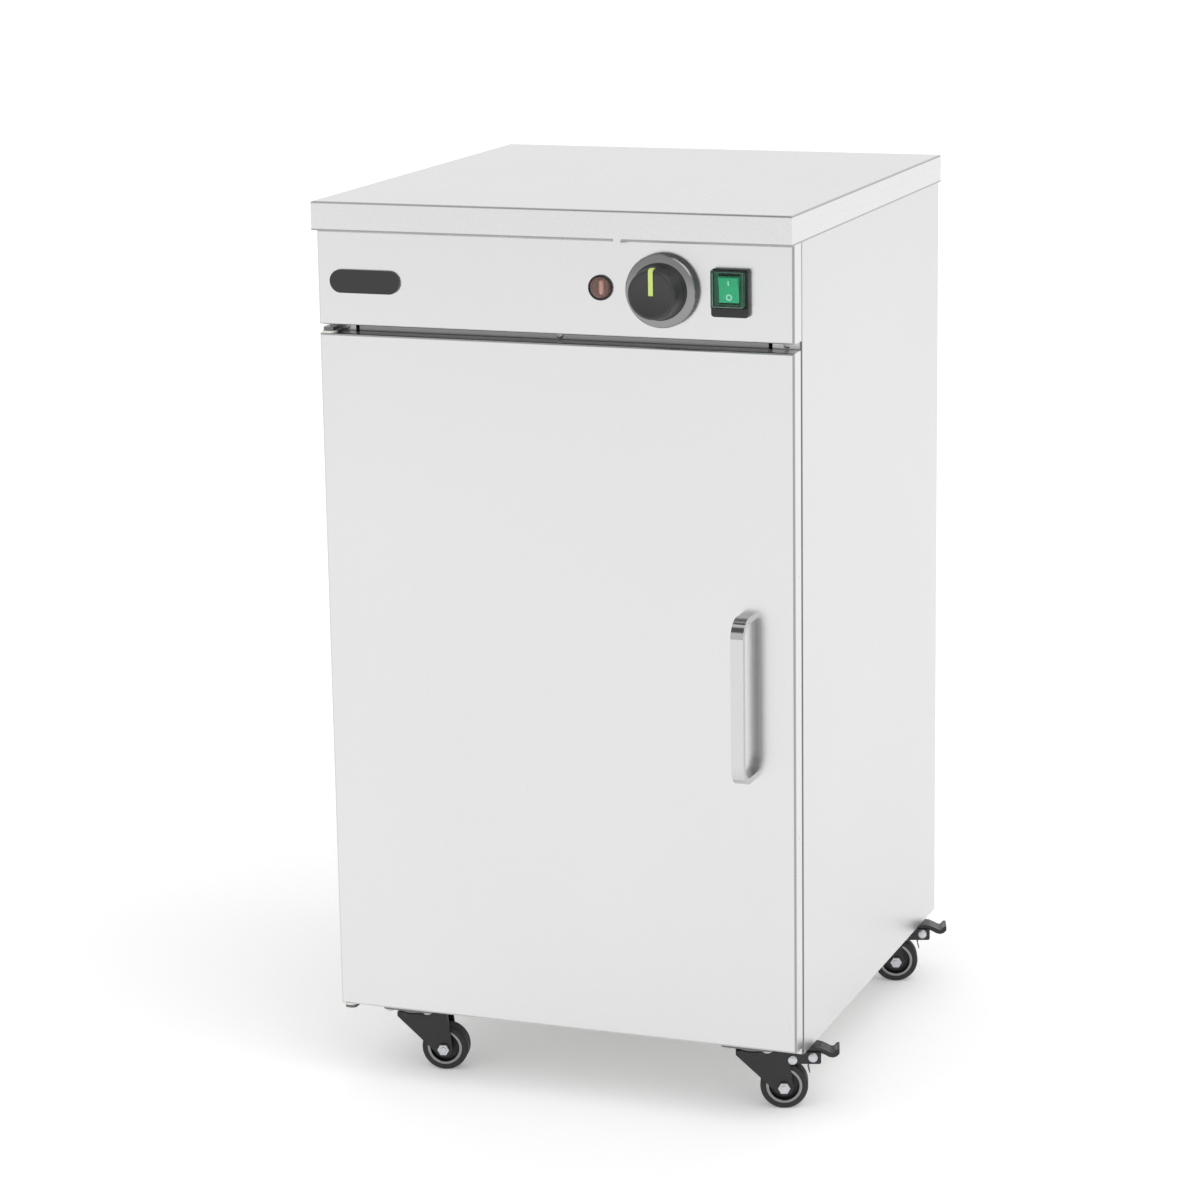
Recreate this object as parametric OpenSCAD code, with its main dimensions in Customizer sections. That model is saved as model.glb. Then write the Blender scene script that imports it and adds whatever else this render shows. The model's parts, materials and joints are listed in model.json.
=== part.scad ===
// Plate warmer cabinet on four casters: a folded sheet body with a heated,
// insulated chamber, one hinged door, a control panel and a worktop.
// X runs to the right, Y to the back and Z up; the floor is at Z = 0.

/* [Worktop] */
// Width of the worktop
top_w = 450; // [420:5:600]
// Depth of the worktop
top_d = 480; // [450:5:600]
// Height of the worktop's folded edge
top_h = 26; // [18:1:40]
// How far the worktop stands out past each side of the body
side_overhang = 1; // [0.5:0.5:6]
// How far the worktop stands out past the door
front_overhang = 8.5; // [3:0.5:20]
// How far the worktop stands out past the back
rear_overhang = 1.5; // [1.5:0.5:12]
// Width of the small tab on the worktop's front edge
tab_w = 6.3; // [4:0.1:12]
// Height of that tab
tab_h = 4; // [2:0.5:8]
// Distance of the tab to the right of the middle
tab_x = 66; // [-150:1:150]

/* [Body] */
// Height of the body between the casters and the worktop
carcass_h = 739; // [650:1:900]
// Thickness of the outer sheet metal
sheet = 1.2; // [0.8:0.1:1.6]
// Outer radius of the sheet's folds
fold_r = 2; // [1.8:0.1:4]
// Width of the upright face on each side of the chamber's mouth
stile_w = 26.5; // [22:0.5:40]
// Width of the flange folded in at the top and the back of each side
flange_w = 14; // [8:1:20]
// Clearance between sheets that nest
fit_gap = 0.2; // [0.1:0.05:0.3]
// Height of the body's front face below the chamber
sill_h = 27; // [20:1:40]
// Height of the rail over the chamber's mouth
rail_h = 32; // [26:1:50]
// Gap between each end of the rail and the upright face
rail_slit = 3.5; // [1:0.5:6]

/* [Chamber] */
// Thickness of the chamber's lining
liner_t = 1; // [0.6:0.1:1.5]
// Depth of the insulated space behind the chamber
rear_space = 22; // [18:1:40]
// Thickness of the insulation over the chamber
roof_wool_t = 22; // [10:1:30]
// Height of the heater space under the guard plate
heater_h = 36; // [26:1:60]
// Height of the lower shelf over the guard plate
shelf_rise = 165; // [100:5:220]
// Distance from the lower shelf up to the upper one
shelf_pitch = 190; // [100:5:220]
// Radius of a shelf's frame wire
shelf_frame_r = 3; // [2.5:0.25:4]
// Radius of a shelf's bars
shelf_bar_r = 1.75; // [1:0.25:2.5]
// Number of bars in a shelf
shelf_bars = 13; // [7:1:17]
// Width of the shelf runners
runner_w = 12; // [10:1:18]

/* [Door] */
// Thickness of the door
door_t = 18.5; // [17:0.5:30]
// Gap between the door and the body
door_gap = 3; // [2.6:0.1:5]
// Gap between the door and the control panel
door_top_gap = 8; // [7:0.5:12]
// Height of the door's lower edge over the bottom of the body
door_rise = 8; // [7:0.5:20]
// Distance of the hinge axis from the side of the body
pivot_in = 7; // [6.8:0.1:7.5]
// Distance of the hinge axis from the door's front face
pivot_back = 7.5; // [7:0.1:8]
// Radius of the hinge pins
hinge_pin_r = 4; // [3:0.1:4.2]
// Running clearance of the hinge pins
running_gap = 0.05; // [0.02:0.01:0.1]
// Distance of the side rivets from the middle of the door
rivet_span = 119; // [60:1:200]

/* [Handle] */
// Overall height of the handle
handle_h = 151; // [100:1:220]
// How far the handle stands out from the door
handle_out = 31; // [28:1:60]
// Width of the handle's bar
handle_w = 11.7; // [9:0.1:20]
// Thickness of the handle's bar
handle_t = 5.5; // [4:0.5:10]
// Outer radius of the handle's bends
handle_r = 18; // [12:1:26]
// Distance of the handle from the door's right edge
handle_in = 43.8; // [30:0.1:90]
// Height of the handle's middle over the door's middle
handle_rise = 10; // [-150:1:150]

/* [Controls] */
// Height of the control panel
panel_h = 86; // [80:1:140]
// Height of the knob's middle over the control panel's lower edge
control_z = 43; // [40:1:46]
// Width of the bare badge plate
badge_w = 67.6; // [40:0.1:100]
// Height of the badge plate
badge_h = 21; // [12:0.5:30]
// Thickness of the badge plate
badge_t = 2.5; // [1:0.1:4]
// Distance of the badge plate's middle from the body's left side
badge_in = 46.5; // [40:0.5:80]
// Diameter of the pilot lamp's bezel
lamp_d = 22.5; // [20:0.5:30]
// Distance of the pilot lamp from the body's right side
lamp_in = 176.7; // [165:0.1:190]
// Distance of the knob from the body's right side
knob_in = 118.8; // [112:0.1:122]
// Diameter of the ring behind the knob
bezel_d = 65; // [60:0.5:70]
// Thickness of that ring
bezel_t = 10; // [8:0.5:12]
// Diameter of the knob at its foot
knob_d = 54; // [44:0.5:58]
// Diameter of the knob's face
knob_face_d = 41; // [30:0.5:42]
// How far the knob stands out from the panel
knob_out = 33; // [28:0.5:40]
// Width of the knob's pointer
pointer_w = 4.2; // [2:0.1:6]
// Radius of the thermostat's shaft
shaft_r = 3; // [2.5:0.1:4]
// Distance of the switch from the body's right side
switch_in = 56.5; // [50:0.1:62]
// Width of the switch's frame
switch_w = 34; // [32:0.5:40]
// Height of the switch's frame
switch_h = 42; // [40:0.5:50]
// Thickness of the switch's frame
switch_t = 5; // [3:0.5:6]
// How far the switch's clear cover stands out from the panel
cover_out = 14; // [13:0.5:18]
// Width of the clear cover
cover_w = 30.5; // [26:0.5:31]
// Height of the clear cover
cover_h = 32.5; // [30:0.5:34]
// Tilt of the rocker to either side of its middle position
rocker_tilt = 8; // [4:1:10]

/* [Casters] */
// Height of the casters
caster_h = 65; // [62:1:90]
// Radius of the wheels
wheel_r = 22; // [17:0.5:22.5]
// Width of the wheels
wheel_w = 18; // [14:0.5:22]
// Distance of the wheel's axle behind the swivel axis
trail = 27.6; // [24:0.1:30]
// Distance of the swivel axes from the sides of the body
caster_in = 56; // [50:0.1:90]
// Distance of the front swivel axes from the front of the body
caster_front = 27; // [27:0.5:80]
// Distance of the back swivel axes from the back of the body
caster_back = 48.5; // [32:0.5:80]
// How far each caster is swivelled: front left, front right, back left, back right
caster_turns = [11, 17, 11, 18]; // [0:1:20]
// Side of the square mounting plates
plate_w = 50; // [48:1:54]
// Thickness of the mounting plates
plate_t = 2.5; // [2:0.5:4]
// Radius of the kingpins
kingpin_r = 5; // [4:0.5:6]
// Thickness of the forks' pressed steel
fork_t = 2; // [1.5:0.5:3]
// Radius of the axle bolts
axle_r = 3; // [2.5:0.5:4]
// How far the brake pedal's tip reaches from the swivel axis
pedal_reach = 78.3; // [76:0.1:84]

/* [Hidden] */
$fn = 48;

// Small overshoot of a cut past the face that it opens
cut = 1;
// Gap left between pieces that only pass each other
clear = 0.3;

// Main planes of the body
half_w = top_w / 2 - side_overhang;
floor_z = caster_h;
deck_z = caster_h + carcass_h;
top_z = deck_z + top_h;
face_y = front_overhang - top_d / 2;
frame_y = face_y + door_t + door_gap;
back_y = top_d / 2 - rear_overhang;
return_y = back_y - sheet;
inner_r = fold_r - sheet;

// Chamber
mouth_x = half_w - stile_w;
chamber_z0 = floor_z + sill_h;
panel_z = deck_z - panel_h;
rail_z1 = panel_z + 4;
chamber_z1 = rail_z1 - rail_h;
chamber_y1 = return_y - sheet - rear_space;
guard_z = chamber_z0 + heater_h;
shelf_zs = [guard_z + shelf_rise, guard_z + shelf_rise + shelf_pitch];
shelf_y0 = frame_y + 22;
shelf_y1 = chamber_y1 - 12;

// Door
door_z0 = floor_z + door_rise;
door_z1 = panel_z - door_top_gap;
door_mid_z = (door_z0 + door_z1) / 2;
door_back_y = face_y + door_t;
pivot_x = pivot_in - half_w;
pivot_y = face_y + pivot_back;
bush_flange_t = 1.7;
bush_wall = 1.5;
bush_flange_r = hinge_pin_r + 2.8;
bush_len = 14;
hinge_plate_t = 3;
hinge_plate_w = 11;
hinge_leg_h = 40;
seal_w = 6;
seal_in = 3;
seal_in_hinge = 6;
catch_w = 9;
catch_h = 50;
catch_depth = 16;
strike_t = 1.5;
rivet_r = 1.6;

// Handle
handle_x = half_w - handle_in;
handle_z = door_mid_z + handle_rise;

// Controls
knob_x = half_w - knob_in;
lamp_x = half_w - lamp_in;
switch_x = half_w - switch_in;
badge_x = badge_in - half_w;
control_mid_z = panel_z + control_z;
badge_z = control_mid_z - 3;
cover_z = control_mid_z + 3.8;
thermostat_size = [40, 34, 40];
bushing_r = shaft_r + 2.2;
rocker_size = [18, 6.5, 22];
rocker_axis_y = face_y - 1.5;
rocker_pin_r = 1.5;
rocker_swing_r = norm([rocker_size.y, rocker_size.z / 2]) + clear;
terminal_size = [70, 20, 20];
terminal_x = 60 - half_w + 14;
terminal_z = deck_z - 54;
cord_r = 4.5;
cord_z = panel_z + 8;

// Heater
element_r = 4;
element_run_w = 90;
element_z = chamber_z0 + heater_h / 2;
element_y0 = frame_y + 90;
element_y1 = chamber_y1 - 104;
element_x = 1.5 * element_run_w;
element_end_y = chamber_y1 + 10;

// Casters, as [left or right, front or back, brake]
caster_x = half_w - caster_in;
caster_y0 = frame_y + caster_front;
caster_y1 = return_y - caster_back;
axle_z = wheel_r;
race_t = 4;
race_r = 17;
fork_top_z = floor_z - plate_t - race_t - 1.5;
fork_roof_z = fork_top_z - fork_t - 0.5;
fork_in = wheel_w / 2 + 1.5;
fork_end_r = 8.3;
fork_nose = 16.6;
fork_back_x = trail + 4;
arm_z0 = fork_top_z - 12.2;
arm_z1 = fork_top_z - 1;
lock_x = pedal_reach - 24.3;
lock_z = fork_top_z - 6;
arm_x1 = lock_x + 7.5;
pedal_t = 2.2;
pedal_y = fork_in - clear;
plate_hole = plate_w / 2 - 6;
bolt_r = 3;

// Frame origin: the middle of the whole object's box, at the floor
tip_x = caster_x + pedal_reach * cos(caster_turns[1]) + pedal_y * sin(caster_turns[1]);
pointer_t = 0.6;
grip_y = face_y - max(handle_out, knob_out + pointer_t);
mid_x = (tip_x - top_w / 2) / 2;
mid_y = (grip_y + top_d / 2) / 2;

// ---------- helpers ----------

// Moves the cabinet so that the origin is the middle of its box
module in_frame() {
  translate([-mid_x, -mid_y, 0]) children();
}

// Box between two corners
module block(lo, hi) {
  translate(lo) cube(hi - lo);
}

// Round bar between two points
module bar(from, to, r) {
  way = to - from;
  translate(from)
  rotate([0, acos(way.z / norm(way)), atan2(way.y, way.x)])
  cylinder(r = r, h = norm(way));
}

// Bent wire through a list of points
module wire(points, r) {
  for (i = [1:len(points) - 1]) {
    bar(points[i - 1], points[i], r);
    if (i < len(points) - 1) translate(points[i]) sphere(r);
  }
}

// Disc or ring along Y, from one depth to another
module ring_y(x, z, y0, y1, r, bore = 0) {
  translate([x, y0, z])
  rotate([-90, 0, 0])
  difference() {
    cylinder(r = r, h = y1 - y0);
    if (bore > 0) translate([0, 0, -cut]) cylinder(r = bore, h = y1 - y0 + 2 * cut);
  }
}

// Hexagonal head or nut along Y
module hex_y(x, z, y0, y1, r) {
  translate([x, y0, z]) rotate([-90, 0, 0]) cylinder(r = r, h = y1 - y0, $fn = 6);
}

// Rectangle whose corners each have their own radius, counted from the
// low corner, anticlockwise
module round_plate(lo, hi, r) {
  corners = [[lo.x, lo.y], [hi.x, lo.y], [hi.x, hi.y], [lo.x, hi.y]];
  difference() {
    translate(lo) square(hi - lo);
    for (i = [0:3]) {
      if (r[i] > 0) {
        translate(corners[i])
        rotate(90 * i)
        difference() {
          translate([-cut, -cut]) square(r[i] + cut);
          translate([r[i], r[i]]) circle(r[i]);
        }
      }
    }
  }
}

// Plate of even thickness along Z with rounded corners
module flat_plate(lo, hi, r) {
  translate([0, 0, lo.z])
  linear_extrude(hi.z - lo.z)
  round_plate([lo.x, lo.y], [hi.x, hi.y], [r, r, r, r]);
}

// Plate of even thickness along Y with rounded corners
module wall_plate(lo, hi, r) {
  translate([0, hi.y, 0])
  rotate([90, 0, 0])
  linear_extrude(hi.y - lo.y)
  round_plate([lo.x, lo.z], [hi.x, hi.z], [r, r, r, r]);
}

// Block whose four edges round its -Y face are folded to a radius
module front_block(lo, hi, r) {
  intersection() {
    translate([0, 0, lo.z])
    linear_extrude(hi.z - lo.z)
    round_plate([lo.x, lo.y], [hi.x, hi.y], [r, r, 0, 0]);
    translate([hi.x, 0, 0])
    rotate([0, -90, 0])
    linear_extrude(hi.x - lo.x)
    round_plate([lo.z, lo.y], [hi.z, hi.y], [r, r, 0, 0]);
  }
}

// Folded tray with its face towards -Y and its edges turned back
module front_tray(lo, hi, t, r) {
  difference() {
    front_block(lo, hi, r);
    front_block([lo.x + t, lo.y + t, lo.z + t], [hi.x - t, hi.y + cut, hi.z - t], r - t);
  }
}

function unit(v) = v / norm(v);
function normal(v) = [-v.y, v.x] / norm(v);

// Offset of a path's corner to one side, so that the strip keeps its thickness
function mitre(points, i, half) =
  let (
    last = len(points) - 1,
    before = normal(points[max(i, 1)] - points[max(i, 1) - 1]),
    after = normal(points[min(i, last - 1) + 1] - points[min(i, last - 1)]),
    middle = unit(before + after)
  )
  middle * half / (middle * before);

// Flat strip of even thickness that follows a path of points
module strip(points, t) {
  last = len(points) - 1;
  polygon(concat(
    [for (i = [0:last]) points[i] + mitre(points, i, t / 2)],
    [for (i = [last:-1:0]) points[i] - mitre(points, i, t / 2)]
  ));
}

// Profile in X and Z made into a solid across Y
module across_y(y0, y1) {
  translate([0, y1, 0]) rotate([90, 0, 0]) linear_extrude(y1 - y0) children();
}

// ---------- body ----------

module top_cover() {
  flange_y = 14;
  color("gainsboro")
  in_frame() {
    rotate([-90, 0, 0])
    front_tray([-top_w / 2, -top_z, -top_d / 2], [top_w / 2, -deck_z, top_d / 2], sheet, fold_r);
    difference() {
      block([-top_w / 2 + sheet, -top_d / 2 + sheet, deck_z],
            [top_w / 2 - sheet, top_d / 2 - sheet, deck_z + sheet]);
      block([-half_w + flange_w, face_y + flange_y, deck_z - cut],
            [half_w - flange_w, back_y - flange_y, deck_z + sheet + cut]);
    }
    block([tab_x - tab_w / 2, -top_d / 2, deck_z - tab_h],
          [tab_x + tab_w / 2, -top_d / 2 + sheet, deck_z + sheet]);
  }
}

// Right side; the left one is its mirror image
module side_shell() {
  translate([0, 0, floor_z])
  linear_extrude(carcass_h)
  difference() {
    round_plate([mouth_x, frame_y], [half_w, return_y], [0, fold_r, fold_r, 0]);
    round_plate([mouth_x - cut, frame_y + sheet], [half_w - sheet, return_y - sheet],
                [0, inner_r, inner_r, 0]);
    translate([mouth_x - cut, return_y - sheet - cut])
    square([stile_w - flange_w + cut, sheet + 2 * cut]);
  }
  block([half_w - flange_w, frame_y + sheet, deck_z - sheet],
        [half_w - sheet, return_y - sheet, deck_z]);
}

// Level of the lower and the upper hinge plate's underside
hinge_plate_zs = [
  door_z0 - bush_flange_t - clear - hinge_plate_t,
  door_z1 + bush_flange_t + clear
];
hinge_x0 = pivot_x - hinge_plate_w / 2;
hinge_x1 = pivot_x + hinge_plate_w / 2;

module side_panel_left() {
  color("gainsboro")
  in_frame()
  difference() {
    mirror([1, 0, 0]) side_shell();
    for (z = hinge_plate_zs) {
      block([hinge_x0 - fit_gap, frame_y - cut, z - fit_gap],
            [hinge_x1 + fit_gap, frame_y + sheet + fit_gap, z + hinge_plate_t + fit_gap]);
    }
    ring_y(screw_xs[0], screw_z, frame_y - cut, frame_y + sheet + cut, screw_shank_r);
  }
}

module side_panel_right() {
  color("gainsboro")
  in_frame()
  difference() {
    side_shell();
    block([mouth_x + 1 - fit_gap, frame_y - cut, door_mid_z - catch_h / 2 - fit_gap],
          [mouth_x + 1 + catch_w + fit_gap, frame_y + sheet + cut, door_mid_z + catch_h / 2 + fit_gap]);
    ring_y(screw_xs[2], screw_z, frame_y - cut, frame_y + sheet + cut, screw_shank_r);
  }
}

// Back plate, lapped over the sides' rear flanges
rear_in = 2;
vent_w = 34;
vent_h = 4;
vent_pitch = 48;
rear_screw_x = half_w - flange_w / 2;
rear_screw_zs = [for (i = [0:3]) floor_z + 30 + i * (carcass_h - 60) / 3];

module rear_panel() {
  color("gainsboro")
  in_frame()
  difference() {
    wall_plate([rear_in - half_w, return_y, floor_z + rear_in],
               [half_w - rear_in, back_y, deck_z - rear_in], rear_in);
    for (i = [-1:3], row = [0:2]) {
      wall_plate([i * vent_pitch - vent_w / 2, return_y - cut, deck_z - 36 - row * 14],
                 [i * vent_pitch + vent_w / 2, back_y + cut, deck_z - 36 - row * 14 + vent_h],
                 vent_h / 2);
    }
    ring_y(terminal_x, cord_z, return_y - cut, back_y + cut, cord_r + 3.5 + fit_gap);
    for (s = [-1, 1], z = rear_screw_zs) {
      ring_y(s * rear_screw_x, z, return_y - cut, back_y + cut, screw_shank_r);
    }
  }
}

module base_pan() {
  pan_x = half_w - sheet - fit_gap;
  sill_x = mouth_x - fit_gap;
  pan_y1 = return_y - sheet - fit_gap;
  pan_lip = 24;
  color("silver")
  in_frame()
  difference() {
    union() {
      block([-pan_x, frame_y + sheet + fit_gap, floor_z], [pan_x, pan_y1, floor_z + sheet]);
      block([-sill_x, frame_y, floor_z], [sill_x, frame_y + sheet + fit_gap, floor_z + sheet]);
      block([-sill_x, frame_y, floor_z], [sill_x, frame_y + sheet, chamber_z0]);
      for (s = [-1, 1]) {
        block([s * pan_x - (s > 0 ? sheet : 0), frame_y + 12, floor_z],
              [s * pan_x + (s < 0 ? sheet : 0), pan_y1, floor_z + pan_lip]);
      }
      block([-pan_x, pan_y1 - sheet, floor_z], [pan_x, pan_y1, floor_z + pan_lip]);
    }
    for (c = caster_spots, i = [-1, 1], j = [-1, 1]) {
      translate([c.x + i * plate_hole, c.y + j * plate_hole, floor_z - cut])
      cylinder(r = bolt_r + fit_gap, h = sheet + 2 * cut);
    }
  }
}

module front_rail() {
  rail_x = mouth_x - rail_slit;
  lug_z0 = chamber_z1 + 2 * liner_t;
  lug_h = 14;
  lug_lap = 8;
  shelf_d = 20;
  color("gainsboro")
  in_frame()
  difference() {
    union() {
      block([-rail_x, frame_y, chamber_z1], [rail_x, frame_y + sheet, rail_z1]);
      block([-rail_x, frame_y, rail_z1 - sheet], [rail_x, frame_y + shelf_d, rail_z1]);
      for (s = [-1, 1]) {
        block([s > 0 ? rail_x - lug_lap : -mouth_x - lug_lap, frame_y + sheet, lug_z0],
              [s > 0 ? mouth_x + lug_lap : lug_lap - rail_x, frame_y + 2 * sheet, lug_z0 + lug_h]);
      }
    }
    ring_y(screw_xs[1], screw_z, frame_y - cut, frame_y + sheet + cut, screw_shank_r);
  }
}

module control_panel() {
  switch_cut = [switch_w - 6, switch_h - 6];
  color("gainsboro")
  in_frame()
  difference() {
    front_tray([-half_w, face_y, panel_z], [half_w, frame_y - fit_gap, deck_z - clear], sheet, fold_r);
    ring_y(knob_x, control_mid_z, face_y - cut, face_y + sheet + cut, bushing_r + fit_gap);
    ring_y(lamp_x, control_mid_z, face_y - cut, face_y + sheet + cut, lamp_d / 2 - 3);
    block([switch_x - switch_cut.x / 2, face_y - cut, control_mid_z - switch_cut.y / 2],
          [switch_x + switch_cut.x / 2, face_y + sheet + cut, control_mid_z + switch_cut.y / 2]);
    block([-half_w + 12, face_y + sheet + cut, panel_z - cut],
          [half_w - 12, frame_y, panel_z + sheet + cut]);
  }
}

// ---------- chamber ----------

module chamber_liner() {
  wall_y0 = frame_y + sheet;
  color("silver")
  in_frame() {
    for (s = [-1, 1]) {
      block([s > 0 ? mouth_x : -mouth_x - liner_t, wall_y0, chamber_z0],
            [s > 0 ? mouth_x + liner_t : -mouth_x, chamber_y1, chamber_z1]);
    }
    difference() {
      block([-mouth_x - liner_t, chamber_y1, chamber_z0 - liner_t],
            [mouth_x + liner_t, chamber_y1 + liner_t, chamber_z1 + liner_t]);
      for (s = [-1, 1]) {
        ring_y(s * element_x, element_z, chamber_y1 - cut, chamber_y1 + liner_t + cut,
               element_r + fit_gap);
      }
    }
    difference() {
      block([-mouth_x - liner_t, wall_y0, chamber_z1], [mouth_x + liner_t, chamber_y1, chamber_z1 + liner_t]);
      translate([capillary_x, capillary_y, chamber_z1 - cut])
      cylinder(r = capillary_r + 1, h = liner_t + 2 * cut);
    }
    block([-mouth_x - liner_t, wall_y0, chamber_z0 - liner_t], [mouth_x + liner_t, chamber_y1, chamber_z0]);
  }
}

module insulation_slabs() {
  wool_y0 = frame_y + catch_depth + 2;
  side_x0 = mouth_x + liner_t + fit_gap;
  side_x1 = half_w - sheet - fit_gap;
  rear_y1 = return_y - sheet - fit_gap;
  rear_x0 = 35 - element_x;
  color("khaki")
  in_frame() {
    for (s = [-1, 1]) {
      block([s > 0 ? side_x0 : -side_x1, wool_y0, chamber_z0],
            [s > 0 ? side_x1 : -side_x0, rear_y1 - 1, chamber_z1]);
    }
    block([rear_x0, chamber_y1 + liner_t, chamber_z0 + heater_h], [mouth_x - 2, rear_y1, chamber_z1]);
    difference() {
      block([-mouth_x + 4, frame_y + 22, chamber_z1 + liner_t],
            [mouth_x - 4, chamber_y1 - 1, chamber_z1 + liner_t + roof_wool_t]);
      translate([cutout_x, 0, chamber_z1]) cylinder(r = 18, h = roof_wool_t + 2 * cut + liner_t);
    }
    block([-caster_x + 36, wool_y0, floor_z + sheet], [caster_x - 36, chamber_y1 - 1, chamber_z0 - liner_t]);
  }
}

module element_guard() {
  guard_x = mouth_x - 1;
  guard_y0 = frame_y + 8;
  guard_y1 = chamber_y1 - 1;
  hole_r = 6;
  holes = [8, 7];
  edge = 28;
  pitch = [2 * (guard_x - edge) / (holes.x - 1), (guard_y1 - guard_y0 - 2 * edge) / (holes.y - 1)];
  color("silver")
  in_frame()
  difference() {
    block([-guard_x, guard_y0, chamber_z0], [guard_x, guard_y1, guard_z]);
    block([-guard_x + sheet, guard_y0 - cut, chamber_z0 - cut],
          [guard_x - sheet, guard_y1 + cut, guard_z - sheet]);
    for (i = [0:holes.x - 1], j = [0:holes.y - 1]) {
      translate([edge - guard_x + i * pitch.x, guard_y0 + edge + j * pitch.y, guard_z - sheet - cut])
      cylinder(r = hole_r, h = sheet + 2 * cut);
    }
  }
}

module heating_element() {
  half = element_run_w / 2;
  color("dimgray")
  in_frame()
  translate([0, 0, element_z]) {
    for (s = [-1, 1]) {
      bar([s * 3 * half, element_y0, 0], [s * 3 * half, element_end_y, 0], element_r);
      bar([s * half, element_y0, 0], [s * half, element_y1, 0], element_r);
      translate([s * element_run_w, element_y0, 0])
      rotate([0, 0, 180])
      rotate_extrude(angle = 180) translate([half, 0]) circle(element_r);
    }
    translate([0, element_y1, 0]) rotate_extrude(angle = 180) translate([half, 0]) circle(element_r);
  }
}

module element_brackets() {
  bracket_x = element_x + 14;
  span = element_y1 - element_y0;
  color("silver")
  in_frame()
  difference() {
    for (f = [0.15, 0.85]) {
      block([-bracket_x, element_y0 + f * span - 1, chamber_z0],
            [bracket_x, element_y0 + f * span + 1, element_z]);
    }
    for (i = [-3, -1, 1, 3]) {
      bar([i * element_run_w / 2, element_y0, element_z], [i * element_run_w / 2, element_y1, element_z],
          element_r + 0.1);
    }
  }
}

module shelf_rails() {
  color("silver")
  in_frame()
  for (s = [-1, 1], z = shelf_zs) {
    mirror([s < 0 ? 1 : 0, 0, 0]) {
      block([mouth_x - runner_w, shelf_y0 - 8, z - sheet], [mouth_x, shelf_y1 + 6, z]);
      block([mouth_x - sheet, shelf_y0 - 8, z - sheet], [mouth_x, shelf_y1 + 6, z + runner_w]);
    }
  }
}

// Wire shelf lying on the runners at height z
module wire_shelf(z) {
  side_x = mouth_x - sheet - shelf_frame_r - 1;
  bar_z = z + 2 * shelf_frame_r - shelf_bar_r;
  step = 2 * side_x / (shelf_bars + 1);
  for (s = [-1, 1]) {
    bar([s * side_x, shelf_y0, z + shelf_frame_r], [s * side_x, shelf_y1, z + shelf_frame_r], shelf_frame_r);
  }
  for (y = [shelf_y0, shelf_y1]) {
    bar([-side_x, y, z + shelf_frame_r], [side_x, y, z + shelf_frame_r], shelf_frame_r);
    for (s = [-1, 1]) translate([s * side_x, y, z + shelf_frame_r]) sphere(shelf_frame_r);
  }
  for (i = [1:shelf_bars]) {
    bar([i * step - side_x, shelf_y0, bar_z], [i * step - side_x, shelf_y1, bar_z], shelf_bar_r);
  }
}

module shelf_lower() {
  color("lightgray") in_frame() wire_shelf(shelf_zs[0]);
}

module shelf_upper() {
  color("lightgray") in_frame() wire_shelf(shelf_zs[1]);
}

// ---------- controls ----------

module badge_plate() {
  color("dimgray")
  in_frame()
  wall_plate([badge_x - badge_w / 2, face_y - badge_t, badge_z - badge_h / 2],
             [badge_x + badge_w / 2, face_y, badge_z + badge_h / 2], badge_h / 2);
}

lamp_lens_r = lamp_d / 2 - 2.6;
lamp_barrel_r = lamp_d / 2 - 3.2;
lamp_bezel_t = 2.8;

module pilot_lamp() {
  color("black")
  in_frame() {
    difference() {
      union() {
        ring_y(lamp_x, control_mid_z, face_y - lamp_bezel_t, face_y, lamp_d / 2);
        ring_y(lamp_x, control_mid_z, face_y, face_y + 26, lamp_barrel_r);
      }
      ring_y(lamp_x, control_mid_z, face_y - lamp_bezel_t - cut, face_y - 0.4, lamp_lens_r + fit_gap);
      ring_y(lamp_x, control_mid_z, face_y - cut, face_y + 18, lamp_barrel_r - 2);
    }
    ring_y(lamp_x, control_mid_z, face_y + 2, face_y + 18, 3);
  }
}

module lamp_lens() {
  rim_t = 2.4;
  dome_t = 2;
  color("rosybrown")
  in_frame()
  translate([lamp_x, face_y - 0.4, control_mid_z])
  rotate([90, 0, 0]) {
    cylinder(r = lamp_lens_r, h = rim_t);
    translate([0, 0, rim_t]) cylinder(r1 = lamp_lens_r, r2 = lamp_lens_r - dome_t, h = dome_t / 2);
  }
}

// Thermostat behind the panel, with its sensing bulb in the chamber
capillary_r = 1;
capillary_x = mouth_x - 14;
capillary_y = face_y + 34;
thermostat_y0 = face_y + sheet + 4;
cutout_x = -60;

module thermostat_body() {
  box_lo = [knob_x - thermostat_size.x / 2, thermostat_y0, control_mid_z - thermostat_size.z / 2];
  bulb_r = 4;
  bulb_len = 90;
  bulb_z = chamber_z1 - 12;
  run_z = chamber_z1 + liner_t + roof_wool_t + 3;
  color("dimgray")
  in_frame() {
    difference() {
      union() {
        block(box_lo, box_lo + thermostat_size);
        ring_y(knob_x, control_mid_z, face_y + sheet, thermostat_y0, bushing_r + 3);
        ring_y(knob_x, control_mid_z, face_y - 7, face_y + sheet, bushing_r);
      }
      ring_y(knob_x, control_mid_z, face_y - 7 - cut, thermostat_y0 + 20, shaft_r + running_gap);
    }
    difference() {
      hex_y(knob_x, control_mid_z, face_y - 4, face_y, bushing_r + 4);
      ring_y(knob_x, control_mid_z, face_y - 4 - cut, face_y + cut, bushing_r);
    }
    wire([[knob_x + 12, capillary_y, box_lo.z], [knob_x + 12, capillary_y, run_z],
          [capillary_x, capillary_y, run_z], [capillary_x, capillary_y, bulb_z]], capillary_r);
    bar([capillary_x, capillary_y, bulb_z], [capillary_x, capillary_y + bulb_len, bulb_z], bulb_r);
  }
}

module knob_bezel() {
  color("silver")
  in_frame()
  ring_y(knob_x, control_mid_z, face_y - bezel_t, face_y, bezel_d / 2, bushing_r + 5);
}

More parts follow.
